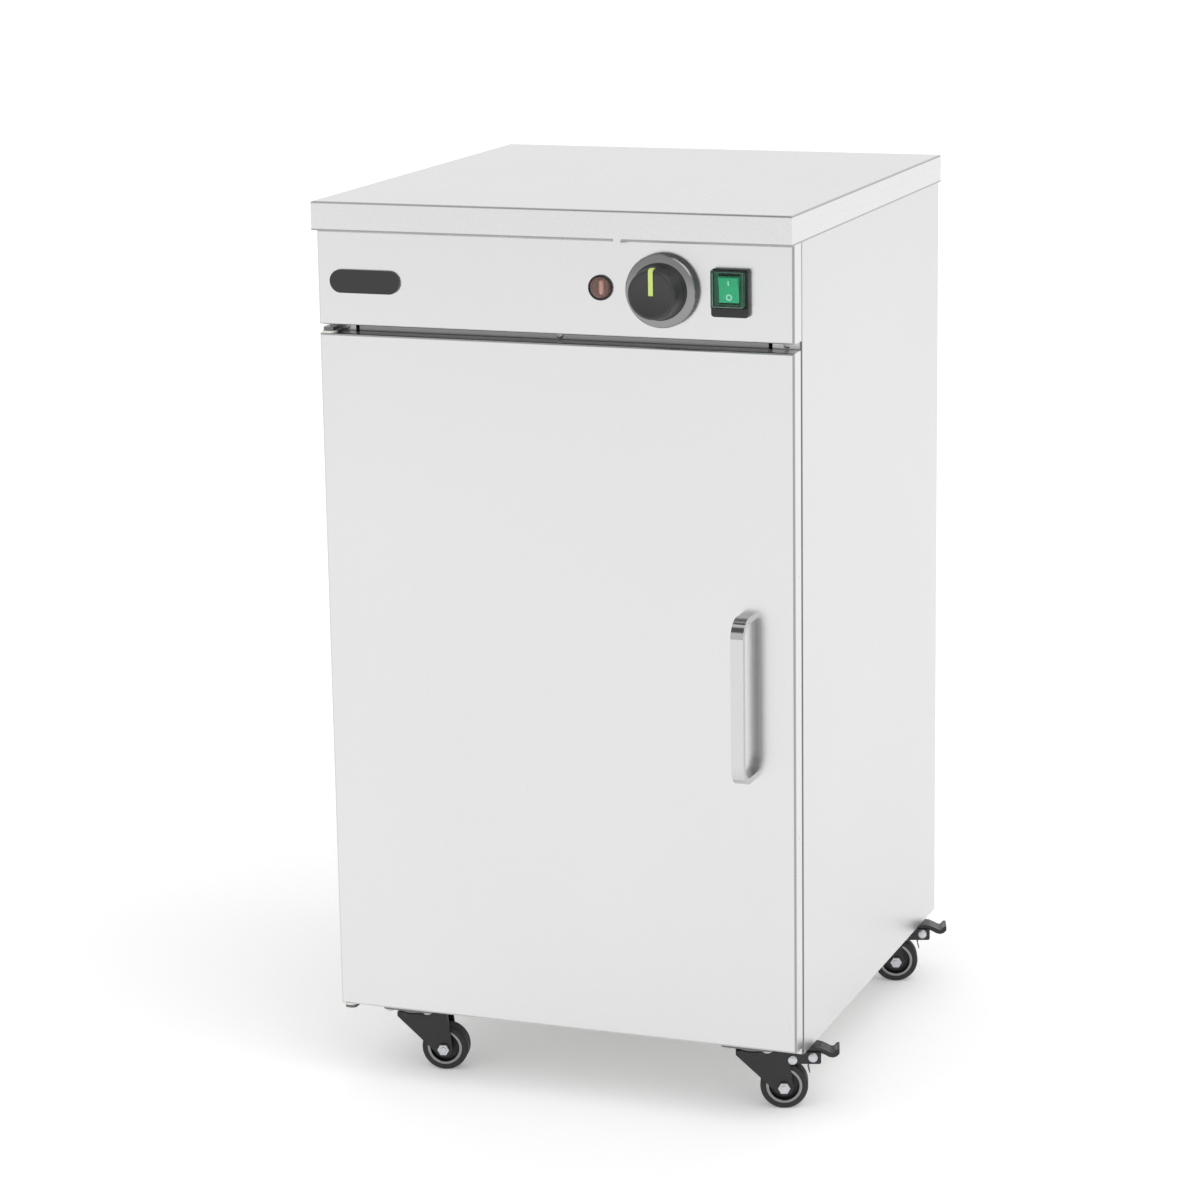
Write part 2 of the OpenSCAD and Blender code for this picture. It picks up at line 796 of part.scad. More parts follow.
// Radius of the knob at a distance from its foot, all grown by an amount
module knob_form(grow) {
  length = knob_out - bezel_t - 1;
  edge = 1.5;
  polygon([
    [0, 0], [knob_d / 2 + grow, 0], [knob_d / 2 + grow, 2],
    [knob_d / 2 - 2 + grow, 4], [knob_face_d / 2 + grow, length - edge],
    [knob_face_d / 2 - edge + grow / 2, length + grow], [0, length + grow]
  ]);
}

module turned_knob(grow) {
  translate([knob_x, face_y - bezel_t - 1, control_mid_z])
  rotate([90, 0, 0])
  rotate_extrude() knob_form(grow);
}

module knob() {
  color("dimgray")
  in_frame()
  difference() {
    turned_knob(0);
    ring_y(knob_x, control_mid_z, face_y - knob_out + 8, face_y - bezel_t, shaft_r + 0.02);
  }
}

module knob_pointer() {
  color("greenyellow")
  in_frame()
  intersection() {
    difference() {
      turned_knob(pointer_t);
      turned_knob(0);
    }
    block([knob_x - pointer_w / 2, face_y - knob_out - cut, control_mid_z],
          [knob_x + pointer_w / 2, face_y - knob_out + 13, control_mid_z + knob_d]);
  }
}

module thermostat_shaft() {
  color("silver")
  in_frame()
  ring_y(knob_x, control_mid_z, face_y - knob_out + 8.1, thermostat_y0 + 19, shaft_r);
}

module switch_housing() {
  pocket_x = rocker_size.x / 2 + clear;
  pocket_z = rocker_swing_r + clear;
  body_w = switch_w - 6.6;
  body_h = switch_h - 6.6;
  color("black")
  in_frame()
  difference() {
    union() {
      wall_plate([switch_x - switch_w / 2, face_y - switch_t, control_mid_z - switch_h / 2],
                 [switch_x + switch_w / 2, face_y, control_mid_z + switch_h / 2], 3);
      block([switch_x - body_w / 2, face_y - cut, control_mid_z - body_h / 2],
            [switch_x + body_w / 2, face_y + 26, control_mid_z + body_h / 2]);
    }
    block([switch_x - pocket_x, face_y - switch_t - cut, cover_z - pocket_z],
          [switch_x + pocket_x, rocker_axis_y + pocket_z, cover_z + pocket_z]);
    bar([switch_x - pocket_x - 1.5, rocker_axis_y, cover_z],
        [switch_x + pocket_x + 1.5, rocker_axis_y, cover_z],
        rocker_pin_r + running_gap);
  }
}

module switch_cover() {
  wall = 1.2;
  lo = [switch_x - cover_w / 2, face_y - cover_out, cover_z - cover_h / 2];
  hi = [switch_x + cover_w / 2, face_y - switch_t, cover_z + cover_h / 2];
  color("seagreen", 0.5)
  in_frame()
  front_tray(lo, hi, wall, 3);
}

module rocker() {
  size = rocker_size;
  color("mediumseagreen")
  in_frame()
  translate([switch_x, rocker_axis_y, cover_z])
  rotate([rocker_tilt, 0, 0]) {
    intersection() {
      translate([size.x / 2, 0, 0])
      rotate([0, -90, 0])
      linear_extrude(size.x)
      polygon([
        [-size.z / 2, -size.y], [0, -size.y + 1.2], [size.z / 2, -size.y],
        [size.z / 2, 0], [size.z / 4, size.z / 2], [-size.z / 4, size.z / 2], [-size.z / 2, 0]
      ]);
      bar([-size.x, 0, 0], [size.x, 0, 0], rocker_swing_r - clear + 0.01);
    }
    bar([-size.x / 2 - 1.5, 0, 0], [size.x / 2 + 1.5, 0, 0], rocker_pin_r);
  }
}

module terminal_block() {
  lo = [terminal_x - terminal_size.x / 2, return_y - terminal_size.y, terminal_z - terminal_size.z / 2];
  color("ivory")
  in_frame()
  difference() {
    block(lo, lo + terminal_size);
    for (i = [0:5]) {
      translate([lo.x + 10 + 10 * i, lo.y + 6, lo.z + terminal_size.z / 2])
      cylinder(r = 2.5, h = terminal_size.z);
    }
  }
}

module safety_cutout() {
  color("black")
  in_frame()
  translate([cutout_x, 0, chamber_z1 + liner_t]) {
    cylinder(r = 12, h = 2);
    cylinder(r = 8, h = 11);
    for (s = [-1, 1]) translate([s * 4 - 0.4, -3, 10]) cube([0.8, 6, 8]);
  }
}

module cable_bush() {
  color("black")
  in_frame()
  difference() {
    union() {
      ring_y(terminal_x, cord_z, back_y, back_y + rear_overhang, cord_r + 8);
      ring_y(terminal_x, cord_z, return_y - 16, back_y + cut / 2, cord_r + 3.5);
      hex_y(terminal_x, cord_z, return_y - 6, return_y, cord_r + 8);
    }
    ring_y(terminal_x, cord_z, return_y - 16 - cut, back_y + rear_overhang + cut, cord_r);
  }
}

module wiring() {
  core_r = 1.8;
  bus_y = return_y - terminal_size.y - clear;
  drop_y = element_end_y + 4;
  rear_lane = drop_y + 5;
  drop_gap = 10;
  drop_z = terminal_z - terminal_size.z / 2 - clear;
  color("firebrick")
  in_frame() {
    wire([[terminal_x, bus_y, terminal_z], [terminal_x, frame_y + 44, terminal_z],
          [switch_x, frame_y + 44, terminal_z], [switch_x, frame_y + 44, control_mid_z],
          [switch_x, face_y + 26, control_mid_z]], core_r);
    wire([[terminal_x + 10, bus_y, terminal_z], [terminal_x + 10, frame_y + 54, terminal_z],
          [lamp_x, frame_y + 54, terminal_z], [lamp_x, frame_y + 54, control_mid_z],
          [lamp_x, face_y + 26, control_mid_z]], core_r);
    wire([[terminal_x + 20, bus_y, terminal_z], [terminal_x + 20, frame_y + 64, terminal_z],
          [knob_x, frame_y + 64, terminal_z], [knob_x, frame_y + 64, control_mid_z],
          [knob_x, thermostat_y0 + thermostat_size.y, control_mid_z]], core_r);
    wire([[terminal_x + 25, rear_lane, drop_z], [terminal_x + 25, rear_lane, chamber_z1 + 7],
          [-element_x, rear_lane, chamber_z1 + 7], [-element_x, rear_lane, element_z],
          [-element_x, element_end_y, element_z]], core_r);
    wire([[terminal_x + 15, drop_y, drop_z], [terminal_x + 15, drop_y, chamber_z1 + 15],
          [-element_x - drop_gap, drop_y, chamber_z1 + 15],
          [-element_x - drop_gap, drop_y, element_z - drop_gap],
          [element_x, drop_y, element_z - drop_gap], [element_x, drop_y, element_z],
          [element_x, element_end_y, element_z]], core_r);
  }
}

// ---------- door ----------

module door_outer() {
  lo = [-half_w, face_y, door_z0];
  hi = [half_w, door_back_y, door_z1];
  color("gainsboro")
  in_frame()
  difference() {
    front_tray(lo, hi, sheet, fold_r);
    translate([pivot_x, pivot_y, door_z0 - cut])
    cylinder(r = hinge_pin_r + bush_wall, h = door_z1 - door_z0 + 2 * cut);
    for (s = [-1, 1]) {
      ring_y(handle_x, handle_z + s * (handle_h - handle_t) / 2, face_y - cut, face_y + sheet + cut, 2.6);
      for (z = [door_mid_z - rivet_span, door_mid_z + rivet_span]) {
        bar([s * (half_w - 4), door_rivet_y, z], [s * (half_w + 1), door_rivet_y, z], rivet_r);
      }
    }
  }
}

door_rivet_y = face_y + 10.5;
inner_lip = door_t - sheet - 3;

// Inner skin: a tray turned towards the outer one
module door_inner() {
  x = half_w - sheet - fit_gap;
  z0 = door_z0 + sheet + fit_gap;
  z1 = door_z1 - sheet - fit_gap;
  color("gainsboro")
  in_frame()
  difference() {
    block([-x, door_back_y - inner_lip, z0], [x, door_back_y, z1]);
    block([-x + sheet, door_back_y - inner_lip - cut, z0 + sheet],
          [x - sheet, door_back_y - sheet, z1 - sheet]);
    translate([pivot_x, pivot_y, z0 - cut])
    cylinder(r = hinge_pin_r + bush_wall + clear, h = z1 - z0 + 2 * cut);
    for (s = [-1, 1], z = [door_mid_z - rivet_span, door_mid_z + rivet_span]) {
      bar([s * (half_w - 5), door_rivet_y, z], [s * (half_w + 1), door_rivet_y, z], rivet_r);
    }
  }
}

module door_insulation() {
  x = half_w - 2 * sheet - 2 * fit_gap - bush_len;
  color("khaki")
  in_frame()
  block([-x, face_y + sheet + 3, door_z0 + bush_len + 8], [x, door_back_y - sheet, door_z1 - bush_len - 8]);
}

module door_gasket() {
  x0 = seal_in_hinge - half_w;
  x1 = half_w - seal_in;
  z0 = door_z0 + seal_in;
  z1 = door_z1 - seal_in;
  y1 = frame_y - clear;
  color("dimgray")
  in_frame()
  difference() {
    wall_plate([x0, door_back_y, z0], [x1, y1, z1], 3);
    wall_plate([x0 + seal_w, door_back_y - cut, z0 + seal_w],
               [x1 - seal_w, y1 + cut, z1 - seal_w], 3);
  }
}

module door_handle() {
  z0 = handle_z - handle_h / 2;
  z1 = handle_z + handle_h / 2;
  color("whitesmoke")
  in_frame()
  translate([handle_x + handle_w / 2, 0, 0])
  rotate([0, -90, 0])
  linear_extrude(handle_w)
  difference() {
    round_plate([z0, face_y - handle_out], [z1, face_y], [handle_r, handle_r, 0, 0]);
    round_plate([z0 + handle_t, face_y - handle_out + handle_t], [z1 - handle_t, face_y + cut],
                [handle_r - handle_t, handle_r - handle_t, 0, 0]);
  }
}

// Handle screws seen from inside the door, and the side rivets
module door_fasteners() {
  color("silver")
  in_frame() {
    for (s = [-1, 1]) {
      ring_y(handle_x, handle_z + s * (handle_h - handle_t) / 2, face_y, face_y + sheet, 2.5);
      ring_y(handle_x, handle_z + s * (handle_h - handle_t) / 2, face_y + sheet, face_y + sheet + 2.6, 4.5);
    }
    for (s = [-1, 1], z = [door_mid_z - rivet_span, door_mid_z + rivet_span]) {
      bar([s * (half_w - 4), door_rivet_y, z], [s * half_w, door_rivet_y, z], rivet_r);
      bar([s * (half_w - 4.5), door_rivet_y, z],
          [s * (half_w - 2 * sheet - fit_gap), door_rivet_y, z], rivet_r + 1);
    }
  }
}

// Bush at a hinge pin; up is +1 at the door's foot and -1 at its head
module door_bush(z, up) {
  z0 = up > 0 ? z - bush_flange_t : z;
  translate([pivot_x, pivot_y, 0])
  difference() {
    union() {
      translate([0, 0, z0]) cylinder(r = bush_flange_r, h = bush_flange_t);
      translate([0, 0, up > 0 ? z : z - bush_len]) cylinder(r = hinge_pin_r + bush_wall, h = bush_len);
    }
    translate([0, 0, z - bush_len - bush_flange_t - cut])
    cylinder(r = hinge_pin_r + running_gap, h = 2 * (bush_len + bush_flange_t + cut));
  }
}

module door_bushes() {
  color("ivory")
  in_frame() {
    door_bush(door_z0, 1);
    door_bush(door_z1, -1);
  }
}

module hinge_brackets() {
  y0 = pivot_y - 5;
  leg_y0 = frame_y + sheet + fit_gap;
  pin_up = [bush_flange_t + clear + bush_len - 2, -(bush_flange_t + clear + bush_len - 2)];
  color("dimgray")
  in_frame()
  for (i = [0, 1]) {
    z = hinge_plate_zs[i];
    translate([0, 0, z])
    linear_extrude(hinge_plate_t)
    round_plate([hinge_x0, y0], [hinge_x1, leg_y0 + hinge_plate_t], [4, 4, 0, 0]);
    block([hinge_x0, leg_y0, z], [hinge_x1, leg_y0 + hinge_plate_t, z + hinge_leg_h]);
    translate([pivot_x, pivot_y, i == 0 ? z : z + pin_up[1]])
    cylinder(r = hinge_pin_r, h = hinge_plate_t + pin_up[0]);
  }
}

module door_magnet() {
  lo = [mouth_x + 1, frame_y, door_mid_z - catch_h / 2];
  color("black")
  in_frame()
  union() {
    block(lo, lo + [catch_w, catch_depth, catch_h]);
    block([lo.x, frame_y + sheet, lo.z - 10], [lo.x + catch_w, frame_y + 2 * sheet, lo.z + catch_h + 10]);
  }
}

module door_strike() {
  color("silver")
  in_frame()
  wall_plate([mouth_x + 1, door_back_y, door_mid_z - catch_h / 2],
             [mouth_x + 1 + catch_w, door_back_y + strike_t, door_mid_z + catch_h / 2], 2);
}

// Screws of the frame and the back, and the casters' bolts with their nuts
screw_shank_r = 2;
screw_head_r = 3.2;
screw_head_t = 1.4;
screw_z = door_z1 + door_top_gap / 2;
screw_xs = [hinge_x1 + 5, 0, half_w - stile_w / 2];

module body_screws() {
  bolt_head_t = 2.6;
  color("dimgray")
  in_frame() {
    for (x = screw_xs) {
      ring_y(x, screw_z, frame_y - screw_head_t, frame_y, screw_head_r);
      ring_y(x, screw_z, frame_y, frame_y + sheet, screw_shank_r);
    }
    for (s = [-1, 1], z = rear_screw_zs) {
      ring_y(s * rear_screw_x, z, back_y, back_y + screw_head_t, screw_head_r);
      ring_y(s * rear_screw_x, z, return_y, back_y, screw_shank_r);
    }
    for (c = caster_spots, i = [-1, 1], j = [-1, 1]) {
      translate([c.x + i * plate_hole, c.y + j * plate_hole, floor_z - plate_t - bolt_head_t]) {
        cylinder(r = bolt_r + 1.8, h = bolt_head_t);
        cylinder(r = bolt_r, h = bolt_head_t + plate_t + sheet + 6);
        translate([0, 0, bolt_head_t + plate_t + sheet]) cylinder(r = bolt_r + 2.7, h = 4.5, $fn = 6);
      }
    }
  }
}

// ---------- casters ----------

// Swivel axis and turn of each caster: front left, front right, back left, back right
caster_spots = [
  [-caster_x, caster_y0, caster_turns[0]], [caster_x, caster_y0, caster_turns[1]],
  [-caster_x, caster_y1, caster_turns[2]], [caster_x, caster_y1, caster_turns[3]]
];

// Places what is drawn from a swivel axis, with the wheel trailing along X
module swivelled(spot) {
  in_frame()
  translate([spot.x, spot.y, 0])
  rotate([0, 0, spot.z])
  children();
}

module caster_plates() {
  pin_z0 = fork_roof_z - 3.5;
  color("dimgray")
  in_frame()
  for (c = caster_spots) {
    translate([c.x, c.y, 0])
    difference() {
      union() {
        flat_plate([-plate_w / 2, -plate_w / 2, floor_z - plate_t], [plate_w / 2, plate_w / 2, floor_z], 5);
        translate([0, 0, floor_z - plate_t - race_t]) cylinder(r = race_r, h = race_t);
        translate([0, 0, pin_z0]) cylinder(r = kingpin_r, h = floor_z - plate_t - pin_z0);
        translate([0, 0, pin_z0]) cylinder(r = kingpin_r + 3.5, h = 3.5 - clear);
      }
      for (i = [-1, 1], j = [-1, 1]) {
        translate([i * plate_hole, j * plate_hole, floor_z - plate_t - cut])
        cylinder(r = bolt_r, h = plate_t + 2 * cut);
      }
    }
  }
}

// Outline of a fork's side plate in X and Z, from the swivel axis
module fork_side() {
  start = [-fork_nose, fork_top_z - 4];
  to_axle = [trail, axle_z] - start;
  reach = sqrt(to_axle * to_axle - fork_end_r * fork_end_r);
  slope = atan2(to_axle.y, to_axle.x) - asin(fork_end_r / norm(to_axle));
  touch = start + reach * [cos(slope), sin(slope)];
  polygon([
    start, touch, [trail, axle_z], [trail + fork_end_r, axle_z],
    [fork_back_x, fork_top_z], [-fork_nose, fork_top_z]
  ]);
  translate([trail, axle_z]) circle(fork_end_r);
}

module fork(spot, brake) {
  color("black")
  swivelled(spot)
  difference() {
    union() {
      for (s = [-1, 1]) {
        across_y(s > 0 ? fork_in : -fork_in - fork_t, s > 0 ? fork_in + fork_t : -fork_in) {
          fork_side();
          if (brake) {
            difference() {
              round_plate([trail, arm_z0], [arm_x1, arm_z1], [0, 2, 2, 0]);
              translate([lock_x, lock_z]) circle(2);
            }
          }
        }
      }
      block([-fork_nose, -fork_in - fork_t, fork_roof_z], [fork_back_x, fork_in + fork_t, fork_top_z]);
      translate([0, 0, fork_roof_z]) cylinder(r = race_r, h = fork_top_z - fork_roof_z);
      translate([0, 0, fork_top_z - 0.01]) cylinder(r = race_r - 1, h = 1.2);
    }
    translate([0, 0, fork_roof_z - cut]) cylinder(r = kingpin_r + running_gap, h = race_t + 2 * cut + fork_t);
    ring_y(trail, axle_z, -fork_in - fork_t - cut, fork_in + fork_t + cut, axle_r);
    if (brake) ring_y(spring_rivet_x, spring_rivet_z, -fork_in - fork_t - cut, fork_in + fork_t + cut, 2);
  }
}

spring_rivet_x = trail + 7.8;
spring_rivet_z = fork_top_z - 8.5;
rivet_button_r = 4.5;
rivet_button_t = 1.7;

module axle(spot, brake) {
  out = fork_in + fork_t;
  color("silver")
  swivelled(spot) {
    ring_y(trail, axle_z, -out - 1, out + 5, axle_r);
    hex_y(trail, axle_z, -out - 4, -out, axle_r + 2.75);
    hex_y(trail, axle_z, out, out + 4, axle_r + 2.75);
    if (brake) {
      for (p = [[lock_x, lock_z], [spring_rivet_x, spring_rivet_z]]) {
        ring_y(p.x, p.y, -out, out, 2);
        ring_y(p.x, p.y, -out - rivet_button_t, -out, rivet_button_r);
        ring_y(p.x, p.y, out, out + rivet_button_t, rivet_button_r);
      }
    }
  }
}

rim_r = wheel_r - 5;

module tyre(spot) {
  shoulder = 2.5;
  color("black")
  swivelled(spot)
  translate([trail, 0, axle_z])
  rotate([90, 0, 0])
  rotate_extrude()
  round_plate([rim_r, -wheel_w / 2], [wheel_r, wheel_w / 2], [0.5, shoulder, shoulder, 0.5]);
}

module hub(spot) {
  rim_in = rim_r - 3.2;
  boss_r = axle_r + 4;
  web_t = 6;
  color("gray")
  swivelled(spot)
  translate([trail, 0, axle_z])
  rotate([90, 0, 0])
  rotate_extrude()
  difference() {
    union() {
      translate([rim_in, -wheel_w / 2 + 0.5]) square([rim_r - rim_in, wheel_w - 1]);
      translate([axle_r, -web_t / 2]) square([rim_r - axle_r - 1, web_t]);
      translate([axle_r, -fork_in + clear]) square([boss_r - axle_r, 2 * (fork_in - clear)]);
    }
    translate([-cut, -wheel_w]) square([axle_r + running_gap + cut, 2 * wheel_w]);
  }
}

// Pedal: a wavy tread with turned-down edges on a sleeve round the rivet,
// and a brake leaf under it
module brake_pedal(spot) {
  tread_z = lock_z + 8;
  tread = [
    [lock_x - 9, tread_z], [lock_x + 2, tread_z], [lock_x + 7.3, tread_z - 1],
    [lock_x + 12, tread_z - 3.2], [lock_x + 15, tread_z - 4.9], [lock_x + 18, tread_z - 5.6],
    [lock_x + 20.6, tread_z - 4.8], [pedal_reach - 1.5, tread_z - 2.2], [pedal_reach, tread_z - 2.2]
  ];
  edge_h = 4.2;
  edge_w = 1.6;
  edge = [for (p = tread) p - [0, (edge_h - pedal_t) / 2]];
  leaf = [
    [lock_x - 0.6, lock_z - 3], [lock_x - 3.8, lock_z - 7.5], [lock_x - 4.7, lock_z - 11.5],
    [lock_x - 3, lock_z - 17.5]
  ];
  sleeve_r = 4;
  leaf_t = 0.8;
  leaf_w = 5;
  color("black")
  swivelled(spot)
  difference() {
    union() {
      across_y(-pedal_y, pedal_y) {
        strip(tread, pedal_t);
        translate([lock_x, lock_z]) circle(sleeve_r);
        translate([lock_x - sleeve_r, lock_z]) square([2 * sleeve_r, tread_z - lock_z]);
      }
      across_y(-pedal_y, edge_w - pedal_y) strip(edge, edge_h);
      across_y(pedal_y - edge_w, pedal_y) strip(edge, edge_h);
      across_y(-leaf_w, leaf_w) strip(leaf, leaf_t);
    }
    ring_y(lock_x, lock_z, -pedal_y - cut, pedal_y + cut, 2 + running_gap);
  }
}

module fork_fl() fork(caster_spots[0], false);
module fork_fr() fork(caster_spots[1], true);
module fork_bl() fork(caster_spots[2], false);
module fork_br() fork(caster_spots[3], true);
module axle_fl() axle(caster_spots[0], false);
module axle_fr() axle(caster_spots[1], true);
module axle_bl() axle(caster_spots[2], false);
module axle_br() axle(caster_spots[3], true);
module tyre_fl() tyre(caster_spots[0]);
module tyre_fr() tyre(caster_spots[1]);
module tyre_bl() tyre(caster_spots[2]);
module tyre_br() tyre(caster_spots[3]);
module hub_fl() hub(caster_spots[0]);
module hub_fr() hub(caster_spots[1]);
module hub_bl() hub(caster_spots[2]);
module hub_br() hub(caster_spots[3]);
module brake_pedal_fr() brake_pedal(caster_spots[1]);
module brake_pedal_br() brake_pedal(caster_spots[3]);

top_cover();
side_panel_left();
side_panel_right();
rear_panel();
base_pan();
control_panel();
front_rail();
chamber_liner();
insulation_slabs();
badge_plate();
pilot_lamp();
lamp_lens();
thermostat_body();
knob_bezel();
switch_housing();
switch_cover();
heating_element();
element_brackets();
element_guard();
terminal_block();
safety_cutout();
cable_bush();
wiring();
shelf_rails();
shelf_upper();
shelf_lower();
hinge_brackets();
door_magnet();
body_screws();
caster_plates();
door_outer();
door_inner();
door_insulation();
door_gasket();
door_handle();
door_fasteners();
door_bushes();
door_strike();
knob();
knob_pointer();
thermostat_shaft();
rocker();
fork_fl();
fork_fr();
fork_bl();
fork_br();
axle_fl();
axle_fr();
axle_bl();
axle_br();
tyre_fl();
tyre_fr();
tyre_bl();
tyre_br();
hub_fl();
hub_fr();
hub_bl();
hub_br();
brake_pedal_fr();
brake_pedal_br();
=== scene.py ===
import json
import math

import bmesh
import bpy
from mathutils import Matrix, Vector


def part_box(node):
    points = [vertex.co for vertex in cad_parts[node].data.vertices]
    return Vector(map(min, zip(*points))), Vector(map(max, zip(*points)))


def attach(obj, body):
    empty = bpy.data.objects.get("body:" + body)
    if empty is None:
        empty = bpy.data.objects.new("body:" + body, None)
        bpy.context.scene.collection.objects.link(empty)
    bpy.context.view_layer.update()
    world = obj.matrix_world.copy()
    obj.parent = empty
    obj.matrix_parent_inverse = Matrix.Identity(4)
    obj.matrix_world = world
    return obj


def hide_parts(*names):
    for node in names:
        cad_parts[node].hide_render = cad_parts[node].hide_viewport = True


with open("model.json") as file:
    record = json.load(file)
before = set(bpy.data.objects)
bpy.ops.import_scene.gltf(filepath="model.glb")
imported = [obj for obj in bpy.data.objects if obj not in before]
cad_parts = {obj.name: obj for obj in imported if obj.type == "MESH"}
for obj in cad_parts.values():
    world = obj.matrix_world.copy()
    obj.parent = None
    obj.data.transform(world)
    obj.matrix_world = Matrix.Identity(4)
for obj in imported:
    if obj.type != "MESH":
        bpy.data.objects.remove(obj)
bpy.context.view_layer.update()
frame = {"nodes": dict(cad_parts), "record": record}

# ---------- sizes and places, in the cabinet's own millimetres ----------

MM = 0.001
TOP_W, TOP_D = 450, 480
# Lower edge of the worktop's folds, and the gap in its front hem for the tab
DECK_Z = 804
TAB_START, TAB_END = 62.4, 69.6
# Outer faces of the control panel, the front rail and the rear panel
FACE_Y, RAIL_Y, BACK_Y = -231.5, -210, 238.5
# Controls: the lamp and the knob share one height, the switch has its own
CONTROL_Z = 761
LAMP_X, KNOB_X = 47.3, 105.2
SWITCH_X, COVER_Z = 167.5, 764.8
KNOB_FOOT_Y = FACE_Y - 11
# Rocker: its axis, its tilt at rest, and how far its face stands out at the middle and, more, at
# this height over or under it
ROCKER_Y = FACE_Y - 1.5
ROCKER_TILT = math.radians(8)
ROCKER_MIDDLE, ROCKER_RISE, ROCKER_HALF = 5.3, 1.2, 11
# Casters: kingpin's place, and the angle in degrees that each one is turned by
CASTER_X, FRONT_CASTER_Y, BACK_CASTER_Y = 168, -183, 188.8
CASTERS = {"fl": (-CASTER_X, FRONT_CASTER_Y, 11), "fr": (CASTER_X, FRONT_CASTER_Y, 17),
           "bl": (-CASTER_X, BACK_CASTER_Y, 11), "br": (CASTER_X, BACK_CASTER_Y, 18)}
BRAKED = ("fr", "br")
# Axle: length behind the kingpin, and height
TRAIL, AXLE_Z = 27.6, 22
# From a wheel's middle to the outer face of its fork, and to its own side
FORK_OUT, RING_OUT = 12.5, 8.4
# Rivets of a braked fork: length behind the kingpin, and height
RIVETS = ((54.0, 51), (35.4, 48.5))

FRONTWARD, BACKWARD, UPWARD, DOWNWARD = (0, -1, 0), (0, 1, 0), (0, 0, 1), (0, 0, -1)

# Middle of the whole box in these millimetres, read from the worktop's place in the frame
cover_low, cover_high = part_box("top_cover")
MID_X = -TOP_W / 2 - cover_low[0] / MM
MID_Y = TOP_D / 2 - cover_high[1] / MM


def at(x, y, z):
    """A point in the cabinet's millimetres, as a point of the frame."""
    return Vector(((x - MID_X) * MM, (y - MID_Y) * MM, z * MM))


# ---------- materials ----------

# Part of a noise texture's range that is spread over the variation asked for
NOISE_LOW, NOISE_HIGH = 0.25, 0.75
# Depth of the bumps, in metres
RELIEF = 0.0004


def new_node(tree, kind, operation=None, **values):
    """A shader node with some inputs set; an underscore stands for a space in an input's name."""
    made = tree.nodes.new(kind)
    if operation:
        made.operation = operation
    for key, value in values.items():
        made.inputs[key.replace("_", " ")].default_value = value
    return made


def material(name, color, rough, metal, grain, shade, rough_spread, bump, cloud, **sockets):
    """A procedural material: grain in colour, roughness and bump, over slow clouds."""
    mat = bpy.data.materials.new(name)
    mat.use_nodes = True
    tree = mat.node_tree
    link = tree.links.new
    shader = tree.nodes["Principled BSDF"]
    shader.inputs["Metallic"].default_value = metal
    for key, value in sockets.items():
        shader.inputs[key.replace("_", " ")].default_value = value

    coords = new_node(tree, "ShaderNodeTexCoord")
    mapping = new_node(tree, "ShaderNodeMapping", Scale=grain)
    link(coords.outputs["Object"], mapping.inputs["Vector"])
    noise = new_node(tree, "ShaderNodeTexNoise", Scale=1.0, Detail=5.0, Roughness=0.6)
    link(mapping.outputs["Vector"], noise.inputs["Vector"])
    clouds = new_node(tree, "ShaderNodeTexNoise", Scale=3.5, Detail=2.0, Roughness=0.5)
    link(coords.outputs["Object"], clouds.inputs["Vector"])

    def spread(source, middle, reach):
        """A noise as a value that reaches this far to each side of the middle."""
        made = new_node(tree, "ShaderNodeMapRange", From_Min=NOISE_LOW, From_Max=NOISE_HIGH,
                        To_Min=middle - reach, To_Max=middle + reach)
        link(source.outputs["Fac"], made.inputs["Value"])
        return made.outputs["Result"]

    both = new_node(tree, "ShaderNodeMath", "MULTIPLY")
    link(spread(noise, 1, shade), both.inputs[0])
    link(spread(clouds, 1, cloud), both.inputs[1])
    tint = new_node(tree, "ShaderNodeVectorMath", "SCALE")
    tint.inputs[0].default_value = color
    link(both.outputs[0], tint.inputs["Scale"])
    link(tint.outputs["Vector"], shader.inputs["Base Color"])
    link(spread(noise, rough, rough_spread), shader.inputs["Roughness"])
    relief = new_node(tree, "ShaderNodeBump", Strength=bump, Distance=RELIEF)
    link(noise.outputs["Fac"], relief.inputs["Height"])
    link(relief.outputs["Normal"], shader.inputs["Normal"])
    return mat


def even(scale):
    """Three equal numbers: a neutral colour, or grain that is the same along every axis."""
    return (scale, scale, scale)


STEEL = even(0.74)
# Grain of brushed sheet: long along one axis, fine across it
ALONG_X = (6, 900, 900)
ALONG_Y = (900, 6, 900)
ALONG_Z = (900, 900, 6)

